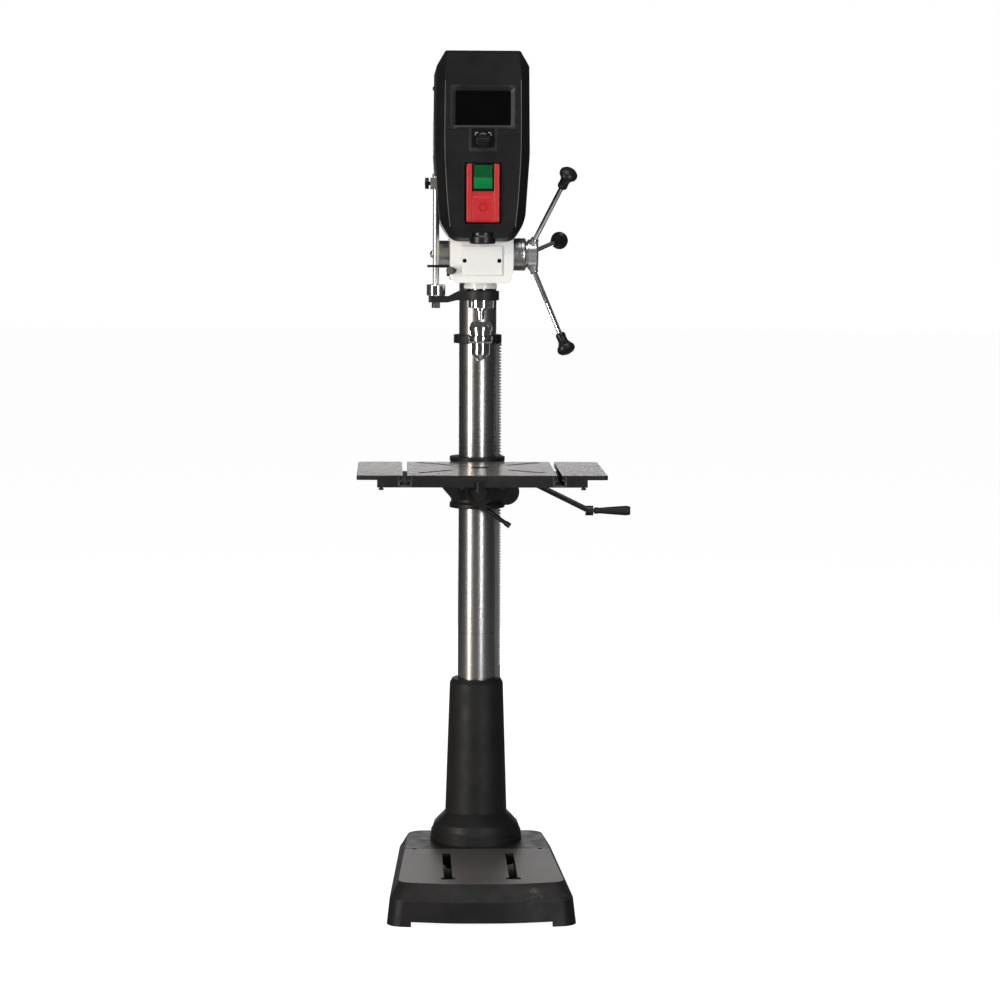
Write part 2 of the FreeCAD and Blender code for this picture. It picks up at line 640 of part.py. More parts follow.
# ---------------------------------------------------------------- head
def make_head_casting():
    """White casting that clamps the column, guides the quill and carries the feed shaft."""
    low, high, half, front = d.head_low, d.head_high, d.head_half, -d.head_front
    outline = [(-half + 7, low), (half - 7, low), (half, low + 30), (half, high), (-half, high),
               (-half, low + 30)]
    nose = plate("head_block", outline, front, -55 - front, "XZ_Plane")
    soften(nose, 9, lambda e: is_along_y(e) and abs(e.BoundBox.ZMin - float(low)) < 1e-3)
    pieces = [nose,
              cylinder("column_clamp", d.column_boss, high - low, (0, 0, low)),
              cylinder("quill_tube", 38, 80, (0, d.quill_y, high - 2)),
              cylinder("motor_flange", d.motor_radius - 2, 12, (0, d.quill_y, high + 76)),
              cylinder("quill_boss", 32.5, 8, (0, d.quill_y, low - 6))]
    panel = plate("head_panel", rectangle(-41, 41, low + 15, low + 75), front - 3, 4, "XZ_Plane")
    pieces.append(panel)
    column_clear = cylinder("pocket_keep_column", d.column_boss, high - low, (0, 0, low + 12))
    mid = minus("mid_pocket", block("mid_pocket_block", -half + 12, half - 12, -146, -50, low + 12, high + 5),
                [column_clear])
    tools = [cylinder("column_seat", d.column_radius + 0.02, 150, (0, 0, low - 5)),
             cylinder("quill_bore", d.quill_radius + d.running_gap, 300, (0, d.quill_y, low - 20)),
             cylinder("pinion_bore", 20.6, 90, (-12, d.feed_y, d.feed_height), AXIS_X),
             cylinder("feed_shaft_bore", 10.05, 80, (-74, d.feed_y, d.feed_height), AXIS_X),
             cylinder("quill_lock_bore", 4.55, 90, (-62, -307.8, low + 25), (0.543, 0.839, 0)),
             mid,
             block("front_pocket", -half + 12, half - 12, front + 12, -252, low + 12, high + 5)]
    for side in (-1, 1):
        tools.append(cylinder("accessory_hole%d" % side, 4, 15,
                              (side * d.accessory_x, front - 4, d.accessory_height),
                              AXIS_Y))
    for i, z in enumerate((low + 30, low + 70)):
        tools.append(cylinder("head_screw_hole%d" % i, 5.2, 30, (35, 0, z), AXIS_X))
    sub_part(minus("head_shape", union("head_blank", pieces), tools), "head_casting")


def make_clamp_screws():
    """Hex screws that pinch the column in its foot and in the head."""
    spots = [((0, 40.2, z), AXIS_Y) for z in (250, 390)]
    spots += [((40.2, 0, d.head_low + rise), AXIS_X) for rise in (30, 70)]
    screws = []
    for i, (start, axis) in enumerate(spots):
        reach = 23.8 if axis is AXIS_Y else 22.3
        seat = tuple(a + b * reach for a, b in zip(start, axis))
        screws.append(union("clamp_screw%d" % i, [
            cylinder("clamp_screw_shank%d" % i, 5, reach + 1, start, axis),
            hexagon("clamp_screw_head%d" % i, 16, 7, seat, axis)]))
    sub_part(group("clamp_screw_group", screws), "column_clamp_screws")


def cover_corners(level, wall):
    """Outline of the head cover: level 0 is its front face, 1 its full section."""
    top, low = float(d.cover_high), float(d.cover_low)
    half = float(d.cover_half)
    face = [(half - 24, top - 9), (half - 19, top - 44), (half - 18.5, top - 199), (half - 28, low + 40),
            (half - 43, low + 8)]
    full = [(half - 20, top), (half - 2, top - 31), (half, top - 207), (half - 9, low + 40),
            (half - 34, low + 1)]
    side = [(a[0] + (b[0] - a[0]) * level - wall, a[1] + (b[1] - a[1]) * level) for a, b in zip(face, full)]
    side[0] = (side[0][0], side[0][1] - wall)
    side[-1] = (side[-1][0], side[-1][1] + wall)
    return side + [(-x, z) for x, z in reversed(side)]


def cover_wire(level, wall, y):
    radii = [5, 9, 300, 80, 24, 24, 80, 300, 9, 5]
    return rounded_wire(cover_corners(level, wall), radii, y, flat_on_y)


def make_covers():
    """Front cover with its chamfered face, and the vented rear cover."""
    front, split = -float(d.cover_front), -float(d.cover_split)
    rear, wall = float(d.cover_rear), float(d.cover_wall)
    shoulder = front + 27
    outer = lofted([cover_wire(0, 0, front), cover_wire(1, 0, shoulder)])
    outer = outer.fuse(lofted([cover_wire(1, 0, shoulder), cover_wire(1, 0, split)]))
    inner = lofted([cover_wire(0, wall, front + wall), cover_wire(1, wall, shoulder + wall)])
    inner = inner.fuse(lofted([cover_wire(1, wall, shoulder + wall), cover_wire(1, wall, split + 5)]))
    half, low = float(d.head_half) + 0.6, float(d.cover_low)
    stop_gap, groove_top = 15.0, float(d.rod_high) + 7

    def rod_groove(grow):
        x_low, y_mid = -120.0, float(d.rod_y)
        return Part.makeBox(float(d.rod_x) + 13.5 + grow - x_low, 2 * (stop_gap + grow),
                            groove_top + grow - low + 10,
                            Vector(x_low, y_mid - stop_gap - grow, low - 10))

    shell = outer.cut(rod_groove(0)).cut(inner.cut(rod_groove(wall)))
    passage = Part.makeBox(2 * half, 260, 120, Vector(-half, -float(d.head_front) - 0.6, low - 40))
    cap_room = Part.makeCylinder(27, 39.6, Vector(0, -328, low - 20))
    screen = Part.makeBox(2 * 68, 8, 88, Vector(-68, front - 1, float(d.screen_low) - 8))
    switch = Part.makeBox(2 * 36.5, 8, 122, Vector(-36.5, front - 1, float(d.paddle_low) - 3.5))
    recess = Part.makeBox(44, 4, 41, Vector(-22, front - 2.5, float(d.dial_height) - 21))
    dial_hole = Part.makeCylinder(3.6, 12, Vector(0, front - 4, float(d.dial_height)), Vector(0, 1, 0))
    for tool in (passage, cap_room, screen, switch, recess, dial_hole):
        shell = shell.cut(tool)
    for x in (-53, 53):
        shell = shell.cut(Part.makeBox(16, 10, 12, Vector(x - 8, front + 32, float(d.cover_high) - 6)))
    sub_part(solid("front_cover_shape", shell), "front_cover")

    back = lofted([cover_wire(1, 0, split + 0.4), cover_wire(1, 0, rear)])
    room = lofted([cover_wire(1, wall, split - 5), cover_wire(1, wall, rear - wall)])
    back = back.cut(room)
    back = back.cut(Part.makeBox(2 * half, -split + float(d.column_boss) + 0.6, 120,
                                 Vector(-half, split, low - 40)))
    for i in range(9):
        z = low + 190 + 16 * i
        back = back.cut(Part.makeBox(110, 12, 6, Vector(-55, rear - 8, z)))
    back = back.cut(Part.makeCylinder(9.1, 12, Vector(-60, rear - 8, low + 90), Vector(0, 1, 0)))
    sub_part(solid("rear_cover_shape", back), "rear_cover")
    gland = turned("power_inlet", [(4.5, -6), (9, -6), (9, 3.3), (12, 3.3), (12, 9), (8, 16), (4.5, 16)],
                   (-60, rear - 3, low + 90), AXIS_Y)
    sub_part(gland, "power_inlet")
    side_plate = plate("rating_plate", rectangle(-35, 35, -35, 35), 0, 1.2)
    side_plate.Placement = Placement(Vector(-float(d.cover_half) - 1.3, -60, 1578),
                                     Rotation(Vector(0, 1, 0), 90))
    sub_part(side_plate, "rating_plate")
    screws = []
    for i, (x, y, z, direction) in enumerate(((95.2, -80, 1500, 1), (95.2, -80, 1680, 1),
                                              (-95.2, -80, 1500, -1), (-95.2, -80, 1680, -1))):
        screws.append(cylinder("cover_screw%d" % i, 4.5, 2.5, (x, y, z), (direction, 0, 0)))
    sub_part(group("cover_screw_group", screws), "cover_screws")


def make_controls():
    """Screen, dial, and the paddle switch with its start button."""
    front = -d.cover_front
    low, high, half = d.screen_low, d.screen_high, d.screen_half
    frame_low, frame_high = float(low) - 8, float(high) + 12
    outer = [(-67.6, frame_low + 0.4), (67.6, frame_low + 0.4), (67.6, frame_high - 0.4),
             (-67.6, frame_high - 0.4)]
    slab = Part.Face(rounded_wire(outer, [3] * 4, float(front) - 0.5, flat_on_y)).extrude(Vector(0, 9, 0))
    near = rounded_wire([(-63, frame_low + 4), (63, frame_low + 4), (63, frame_high - 5),
                         (-63, frame_high - 5)],
                        [4] * 4, float(front) - 0.6, flat_on_y)
    far = rounded_wire([(-float(half), float(low)), (float(half), float(low)), (float(half), float(high)),
                        (-float(half), float(high))], [1.5] * 4, float(front) + 5.2, flat_on_y)
    bezel = slab.cut(lofted([near, far]))
    glass_room = Part.makeBox(2 * float(half) + 4, 6, float(high) - float(low) + 4,
                              Vector(-float(half) - 2, float(front) + 5, float(low) - 2))
    sub_part(solid("display_bezel_shape", bezel.cut(glass_room)), "display_bezel")
    sub_part(block("screen_glass", -half - 1.8, half + 1.8, front + 5.2, front + 8, low - 1.8, high + 1.8),
             "display_screen")
    board = union("control_board_shape", [
        plate("board_sheet", rectangle(-62, 62, 1532, 1700), front + 18, 1.6, "XZ_Plane"),
        block("board_display", -58, 58, front + 8.7, front + 18.5, low - 2, high + 2),
        block("board_relay", -50, -20, front + 19, front + 34, 1540, 1568),
        block("board_filter", 8, 48, front + 19, front + 30, 1538, 1560)])
    sub_part(board, "control_board")
    dial = turned("control_dial_blank", [(0, -16), (3.2, -16), (3.2, 2.2), (14.5, 2.2), (14.5, 4), (13, 5),
                                         (12.2, 13),
                                   (0, 13)], (0, front, d.dial_height), (0, -1, 0))
    bar = block("dial_bar", -13, 13, front - 16.5, front - 12, d.dial_height - 3, d.dial_height + 3)
    sub_part(union("control_dial_shape", [dial, bar]), "control_dial")
    paddle_low, paddle_high, paddle_half = d.paddle_low, d.paddle_high, d.paddle_half
    face_plate = block("switch_face", -36, 36, front + 5, front + 8, paddle_low - 3, paddle_high + 2)
    case = block("switch_case", -28, 28, front + 7, front + 42, paddle_low + 7, paddle_high - 8)
    well = block("button_well", -21.5, 21.5, front + 4, front + 9, paddle_high - 52.5, paddle_high)
    stem_well = block("stem_well", -10, 10, front + 4, front + 22, paddle_high - 38, paddle_high - 14)
    sub_part(minus("switch_shape", union("switch_blank", [face_plate, case]), [well, stem_well]),
             "switch_housing")
    slab = plate("paddle_slab", rectangle(-paddle_half, paddle_half, paddle_low, paddle_high), front - 7.5, 8,
                 "XZ_Plane")
    soften(slab, 3.5, is_along_y)
    notch = block("paddle_notch", -21.5, 21.5, front - 12, front + 5, paddle_high - 52.5, paddle_high + 5)
    dip = block("paddle_dip", -21.5, 21.5, front - 9, front - 6.7, paddle_high - 66, paddle_high - 50)
    sub_part(minus("paddle_shape", slab, [notch, dip]), "stop_paddle")
    cap = block("button_cap", -18.8, 18.8, front - 6.5, front + 4, paddle_high - 49.8, paddle_high - 2)
    stem = block("button_stem", -8, 8, front + 3.5, front + 14, paddle_high - 36, paddle_high - 16)
    sub_part(union("start_button_shape", [cap, stem]), "start_button")


def make_front_cap():
    """Round cap that stands out of the cover's lower front edge."""
    low = d.cover_low - 4
    cap = turned("cover_cap", [(20, low), (26.5, low), (26.5, low + 14), (24.3, low + 17), (24.3, low + 23),
                               (0, low + 23), (0, low + 18), (20, low + 18)], (0, -328, 0))
    soften(cap, 3.5, is_round(26.5, low))
    sub_part(cap, "cover_cap")


def make_motor():
    """Motor in line above the spindle: housing, stator, rotor with its drive sleeve, bearings."""
    low, high, radius = d.motor_low - 2, d.motor_high, d.motor_radius
    base = (0, d.quill_y, 0)
    housing = turned("motor_housing", [(26, low), (radius, low), (radius, high), (26, high), (26, high - 6),
                                       (radius - 6, high - 6), (radius - 6, low + 6), (26, low + 6)], base)
    soften(housing, 5, is_round(radius))
    sub_part(housing, "motor_housing")
    sub_part(sleeve("motor_stator", radius - 6.1, 46, low + 24, high - 30, base), "motor_stator")
    rotor = turned("rotor_blank", [(12.3, low + 1), (17, low + 1), (17, low + 28), (45, low + 28),
                                   (45, high - 34),
                                   (17, high - 34), (17, high + 6), (12.3, high + 6)], base)
    key = block("rotor_key", 10.2, 13.5, d.quill_y - 2.3, d.quill_y + 2.3, low + 1, high + 6)
    sub_part(union("rotor_shape", [rotor, key]), "motor_rotor")
    rings = [sleeve("rotor_bearing%d" % i, 25.9, 17.05, z, z + 14, base)
             for i, z in enumerate((low + 0.5, high - 14.5))]
    sub_part(group("rotor_bearing_group", rings), "rotor_bearings")


def make_quill():
    """Quill with its cut rack, the spindle, their bearings and the arbor taper."""
    low, high, radius, y = d.quill_low, d.quill_high, d.quill_radius, d.quill_y
    module, slack = float(d.tooth_module), float(d.tooth_slack)
    barrel = turned("quill_blank", [(18.5, low), (radius - 1, low), (radius, low + 1), (radius, high),
                                    (18.5, high)], (0, y, 0))
    tip = float(radius)
    corners = rack_corners(1316, 1512, float(d.feed_height), module, slack, tip - 2.25 * module, tip)
    cutters = []
    for i in range(0, len(corners), 4):
        points = [Vector(-13, float(y) + out, z) for out, z in corners[i:i + 4]]
        points = ([Vector(-13, points[0].y + 6, points[0].z)] + points
                  + [Vector(-13, points[3].y + 6, points[3].z)])
        cutters.append(Part.Face(Part.makePolygon(points + points[:1])).extrude(Vector(26, 0, 0)))
    gaps = solid("quill_rack_gaps", Part.makeCompound(cutters))
    sub_part(minus("quill_shape", barrel, [gaps]), "quill")
    rings = [sleeve("quill_bearing%d" % i, 18.48, 12.05, z, z + 16, (0, y, 0))
             for i, z in enumerate((low + 3, high - 18))]
    sub_part(group("quill_bearing_group", rings), "quill_bearings")
    nose = low - 24
    bar = turned("spindle_blank", [(0, nose), (7, nose), (8.6, low - 6), (13, low - 5), (13, low - 0.6),
                                   (12, low - 0.6), (12, high + 206), (0, high + 206)], (0, y, 0))
    keyway = block("spindle_keyway", 9.6, 14, y - 2.6, y + 2.6, high + 4, high + 210)
    sub_part(minus("spindle_shape", bar, [keyway]), "spindle")


def make_chuck():
    """Keyed drill chuck: body with its drill socket, geared sleeve and three slanting jaws."""
    y, top = d.quill_y, d.quill_low - 28
    low = top - 77
    body = turned("chuck_blank", [
        (0, low), (9.5, low), (18.4, low + 10), (18.4, low + 49.5), (21, low + 50), (21, low + 58),
        (23.4, low + 58.5),
        (23.4, low + 66), (19.5, low + 75), (18, top), (7.05, top), (8.05, top - 14), (0, top - 14)],
        (0, y, 0))
    low_z, slope, reach = float(low), math.radians(12), 8.2
    body_tools, jaws = [cylinder("drill_socket", 6.5, 44, (0, y, low - 1))], []
    for i in range(3):
        angle = 90 + 120 * i
        start = Vector(*around(reach, angle, low_z)) + Vector(0, float(y), 0)
        lean = Vector(*around(math.sin(slope), angle, math.cos(slope)))
        body_tools.append(cylinder("jaw_bore%d" % i, 3.9, 36, start - lean * 10, lean))
        jaws.append(cylinder("jaw_bar%d" % i, 3.55, 28, start - lean * 3.5, lean))
    key_holes = [cylinder("chuck_key_hole%d" % i, 4, 12, (0, 0, 0), AXIS_Z) for i in range(3)]
    for i, hole in enumerate(key_holes):
        angle = 270 + 120 * i
        outer = Vector(*around(22, angle, low_z + 22)) + Vector(0, float(y), 0)
        place(hole, tuple(outer), around(-1, angle))
        hole.Height = 8
    sub_part(minus("chuck_body_shape", body, body_tools + key_holes), "chuck_body")
    ring = turned("chuck_sleeve", [(18.5, low + 33), (22, low + 33), (23.6, low + 35), (23.6, low + 47),
                                   (22.6, low + 48.8), (18.5, low + 48.8)], (0, y, 0))
    sub_part(ring, "chuck_sleeve")
    for i, jaw in enumerate(jaws):
        sub_part(jaw, "chuck_jaw_%d" % (i + 1))


def make_feed():
    """Feed shaft with its pinion, and the bearing, hub, spokes and knobs at its right end."""
    module, slack = float(d.tooth_module), float(d.tooth_slack)
    y, z = float(d.feed_y), float(d.feed_height)
    lay = Placement(Vector(0, y, z), Rotation(Vector(0, 1, 0), 90))
    teeth = gear_face(int(d.feed_teeth), module, slack, -math.pi / 2).extrude(Vector(0, 0, 20))
    teeth.translate(Vector(0, 0, -10))
    shaft = Part.makeCylinder(12, 108, Vector(0, 0, 9.5)).fuse(Part.makeCylinder(10, 70, Vector(0, 0, -79)))
    pinion = teeth.fuse(shaft)
    pinion.Placement = lay
    sub_part(solid("feed_pinion_shape", pinion), "feed_pinion_shaft")
    bearing = turned("feed_bearing", [(12.05, 15.5), (20.5, 15.5), (20.5, 64.3), (33.6, 64.3), (33.6, 92.5),
                                      (31.6, 94),
                                      (12.05, 94)], (0, d.feed_y, d.feed_height), AXIS_X)
    soften(bearing, 1.5, is_round(33.6, 64.3))
    sub_part(bearing, "feed_bearing")
    hub = turned("hub_blank", [(12.02, 94.4), (27, 94.4), (27, 97), (31, 98), (31, 115), (28, 119),
                               (12.02, 119)],
                 (0, d.feed_y, d.feed_height), AXIS_X)
    tilt = math.radians(20.5)
    bosses, bores, spokes, knobs = [], [], [], []
    knob_outline = [(0, -28), (9.5, -28), (10.5, -24), (9.8, -18), (10.4, -10), (14, -3), (18, 2), (19, 6),
                    (18.2, 10),
                    (14.5, 14), (8, 16.6), (0, 17.4)]
    for i in range(3):
        angle = 7.5 + 120 * i
        lean = Vector(math.sin(tilt), math.cos(tilt) * math.cos(math.radians(angle)),
                      math.cos(tilt) * math.sin(math.radians(angle)))
        root = Vector(97, y, z)
        bosses.append(cylinder("spoke_boss%d" % i, 8.5, 22, root + lean * 20, lean))
        bores.append(cylinder("spoke_bore%d" % i, 5.02, 40, root + lean * 18, lean))
        spokes.append(cylinder("spoke%d" % i, 5, 172, root + lean * 18.5, lean))
        knob = turned("knob%d" % i, knob_outline, tuple(root + lean * 214), tuple(lean))
        soften(knob, 4, is_round(19))
        bore = cylinder("knob_bore%d" % i, 5.02, 40, root + lean * 151, lean)
        knobs.append(minus("knob_shape%d" % i, knob, [bore]))
    sub_part(group("spoke_group", spokes), "feed_spokes")
    sub_part(group("knob_group", knobs), "feed_knobs")
    shaft_bore = cylinder("hub_bore", 12.02, 60, (92, d.feed_y, d.feed_height), AXIS_X)
    sub_part(minus("feed_hub_shape", union("feed_hub_solid", [hub] + bosses), bores + [shaft_bore]),
             "feed_hub")


def make_return_spring():
    """Cup, flat spiral spring and nut at the left end of the feed shaft."""
    base = (0, d.feed_y, d.feed_height)
    cup = turned("spring_cup", [(10.6, 64.2), (28, 64.2), (28, 85), (26, 87), (8.2, 87), (8.2, 84.5),
                                (25.3, 84.5),
                                (25.3, 66.5), (10.6, 66.5)], base, (-1, 0, 0))
    sub_part(cup, "spring_cup")
    turns, inner, outer, thick = 5.0, 11.5, 24.0, 0.7
    steps = 90

    def spiral(shift):
        points = []
        for i in range(steps + 1):
            share = i / steps
            radius, angle = inner + (outer - inner) * share + shift, 2 * math.pi * turns * share
            points.append(Vector(radius * math.cos(angle), radius * math.sin(angle), 0))
        curve = Part.BSplineCurve()
        curve.interpolate(points)
        return curve.toShape(), points[0], points[-1]

    near, near_start, near_end = spiral(0.0)
    far, far_start, far_end = spiral(thick)
    wire = Part.Wire([near, Part.makeLine(near_end, far_end), far, Part.makeLine(far_start, near_start)])
    coil = Part.Face(wire).extrude(Vector(0, 0, 14))
    coil.Placement = Placement(Vector(-82.5, float(d.feed_y), float(d.feed_height)),
                               Rotation(Vector(0, 1, 0), 90))
    sub_part(solid("return_spring_shape", coil), "return_spring")
    thread = cylinder("spring_stud", 7.8, 14, (-80.5, d.feed_y, d.feed_height), (-1, 0, 0))
    nut = hexagon("spring_nut_hex", 19, 8, (-87.2, d.feed_y, d.feed_height), (-1, 0, 0))
    dome = turned("spring_nut_dome", [(0, 95), (8.6, 95), (8, 99), (5.5, 102.6), (0, 104)], base, (-1, 0, 0))
    sub_part(union("spring_nut_shape", [thread, nut, dome]), "spring_nut")


def make_depth_stop():
    """Collar on the quill, graduated rod, nut, stop block with its button, and the pointer bracket."""
    y, x, rod_y, low = d.quill_y, d.rod_x, d.rod_y, d.quill_low
    ring = cylinder("collar_ring", 38, 19, (0, y, low + 16))
    arm = plate("collar_arm", [(-107, low + 11.5), (-68, low + 11.5), (-50, low + 16), (-20, low + 16),
                               (-20, low + 35), (-46, low + 35), (-66, low + 24.5), (-107, low + 24.5)],
                -238, 20, "XZ_Plane")
    soften(arm, 6, lambda e: is_upright(e) and e.BoundBox.XMin < -106)
    bore = cylinder("collar_bore", d.quill_radius + 0.02, 60, (0, y, low))
    rod_hole = cylinder("collar_rod_hole", 5.05, 60, (x, rod_y, low))
    sub_part(minus("depth_collar_shape", union("collar_blank", [ring, arm]), [bore, rod_hole]),
             "depth_collar")
    rod = turned("depth_rod", [(0, low + 8), (5, low + 8), (5, low + 25), (d.rod_radius, low + 25),
                               (d.rod_radius, d.rod_high - 1), (d.rod_radius - 1, d.rod_high),
                               (0, d.rod_high)],
                 (x, rod_y, 0))
    sub_part(rod, "depth_rod")
    nut = turned("depth_nut", [(d.rod_radius + 0.02, low + 25.1), (18, low + 25.1), (19.5, low + 27),
                               (19.5, low + 46),
                               (18, low + 48), (d.rod_radius + 0.02, low + 48)], (x, rod_y, 0))
    sub_part(nut, "depth_nut")
    bolt = minus("rod_bolt_shape", hexagon("rod_bolt_hex", 15, 11, (x, rod_y, low)),
                 [cylinder("rod_bolt_bore", 5.02, 20, (x, rod_y, low + 3))])
    sub_part(bolt, "depth_rod_bolt")
    stop_low = low + 241.5
    stop = block("stop_block", x - 12, x + 11, rod_y - 11, rod_y + 11, stop_low, stop_low + 24)
    stop_tools = [cylinder("stop_bore", d.rod_radius + d.running_gap, 60, (x, rod_y, stop_low - 10)),
                  cylinder("stop_button_bore", 4.1, 12, (x - 14, rod_y, stop_low + 12), AXIS_X)]
    sub_part(minus("depth_stop_shape", stop, stop_tools), "depth_stop")
    button = turned("depth_stop_button", [(0, 10.2), (4, 10.2), (4, 14.8), (11.5, 14.8), (11.5, 22.6),
                                          (0, 23.4)],
                    (x, rod_y, stop_low + 12), (-1, 0, 0))
    soften(button, 1.2, is_round(11.5))
    sub_part(button, "depth_stop_button")
    shelf = low + 83
    tab = plate("pointer_tab", rectangle(x - 18, -64.2, rod_y - 9, rod_y + 9), shelf, 5)
    soften(tab, 5, lambda e: is_upright(e) and e.BoundBox.XMin < -109)
    lug = block("pointer_lug", -70, -64.2, rod_y - 9, rod_y + 9, shelf - 18, shelf + 1)
    gap = cylinder("pointer_gap", d.rod_radius + 0.4, 40, (x, rod_y, shelf - 10))
    sub_part(minus("pointer_shape", union("pointer_blank", [tab, lug]), [gap]), "pointer_bracket")
    lock = turned("quill_lock_screw", [(0, 0), (8, 0), (8, 9), (4.5, 9), (4.5, 88.5), (0, 88.5)],
                  (-62 - 0.543 * 7, -307.8 - 0.839 * 7, d.head_low + 25), (0.543, 0.839, 0))
    sub_part(lock, "quill_lock_screw")


make_base()
make_column()
make_rack()
make_table()
make_bracket()
make_lift_drive()
make_column_lock()
make_head_casting()
make_clamp_screws()
make_covers()
make_controls()
make_front_cap()
make_motor()
make_quill()
make_chuck()
make_feed()
make_return_spring()
make_depth_stop()


# ---------------------------------------------------------------- checks and files
def write_parts():
    """Check every object, then write each sub-part to its own file."""
    doc.recompute()
    for obj in doc.Objects:
        if "Invalid" in obj.State or "Error" in obj.State:
            raise RuntimeError("%s did not compute: %s" % (obj.Label, obj.getStatusString()))
    os.makedirs("parts", exist_ok=True)
    for obj in sub_parts:
        shape = obj.Shape
        if shape.isNull() or not shape.isValid() or shape.Volume <= 0:
            raise RuntimeError("%s has no valid solid" % obj.Label)
        shape.exportStep("parts/%s.step" % obj.Label)
        box = shape.BoundBox
        print("%-22s solids %2d  x %7.1f %7.1f  y %7.1f %7.1f  z %7.1f %7.1f  %9.1f cm3" % (
            obj.Label, len(shape.Solids), box.XMin, box.XMax, box.YMin, box.YMax, box.ZMin, box.ZMax,
            shape.Volume / 1000))


write_parts()
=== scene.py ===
"""Looks of the floor-standing drill press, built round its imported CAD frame.

Everything is in metres in the CAD's own frame: origin on the column's axis at floor level, +Z up,
-Y towards the operator, +X to the operator's right.
"""
import math

import bmesh
import bpy
from mathutils import Matrix, Vector


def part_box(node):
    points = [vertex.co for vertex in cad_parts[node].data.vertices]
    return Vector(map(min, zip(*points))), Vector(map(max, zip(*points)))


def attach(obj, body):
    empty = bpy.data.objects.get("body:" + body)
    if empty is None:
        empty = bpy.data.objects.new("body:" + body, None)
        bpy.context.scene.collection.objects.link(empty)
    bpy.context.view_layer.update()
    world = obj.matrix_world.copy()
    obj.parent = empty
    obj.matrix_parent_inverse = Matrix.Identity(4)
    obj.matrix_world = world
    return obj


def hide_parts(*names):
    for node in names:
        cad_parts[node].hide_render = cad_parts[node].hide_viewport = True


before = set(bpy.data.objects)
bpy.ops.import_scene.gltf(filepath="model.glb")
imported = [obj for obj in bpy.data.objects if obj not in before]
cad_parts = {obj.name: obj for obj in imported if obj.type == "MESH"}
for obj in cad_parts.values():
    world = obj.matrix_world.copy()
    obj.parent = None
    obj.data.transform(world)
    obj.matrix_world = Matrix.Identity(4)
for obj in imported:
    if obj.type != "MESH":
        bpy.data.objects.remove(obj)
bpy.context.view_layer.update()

# The base: its ground face, which ends at a line in front of the column's foot, the shoulder under
# which the wall's paint is darkened as painted shade, and the scraped front right corner.
BASE_TOP = 0.080
BASE_GROUND_LIMIT = -0.111
BASE_SHOULDER = 0.051
BASE_RUBBED = (0.05, -0.452)

# The table's ground face, and a faint dark line round the column.
TABLE_TOP = 0.900
COLUMN_LINE = 0.530

# The head: the quill's axis, and two small tapped holes, painted as dark discs of shade, in the nose, which
# lies in front of NOSE_BACK.
QUILL_Y = -0.212
TAPPED_X, TAPPED_Z = 0.035, 1.327
TAPPED_RADIUS = 0.0042
NOSE_BACK = -0.25

# The cover: its front face, its outline there, the dial's centre, the height where the start button
# turns from light to dark green, and how far from the middle the bezel's sloping sides lie.
COVER_FRONT = -0.345
COVER_HALF, COVER_LOW, COVER_TOP = 0.095, 1.365, 1.747
DIAL_HEIGHT = 1.568
BUTTON_STEP = 1.494
BEZEL_SLOPE = (0.0535, 0.0640)

SIDES = ((-1, "left"), (1, "right"))


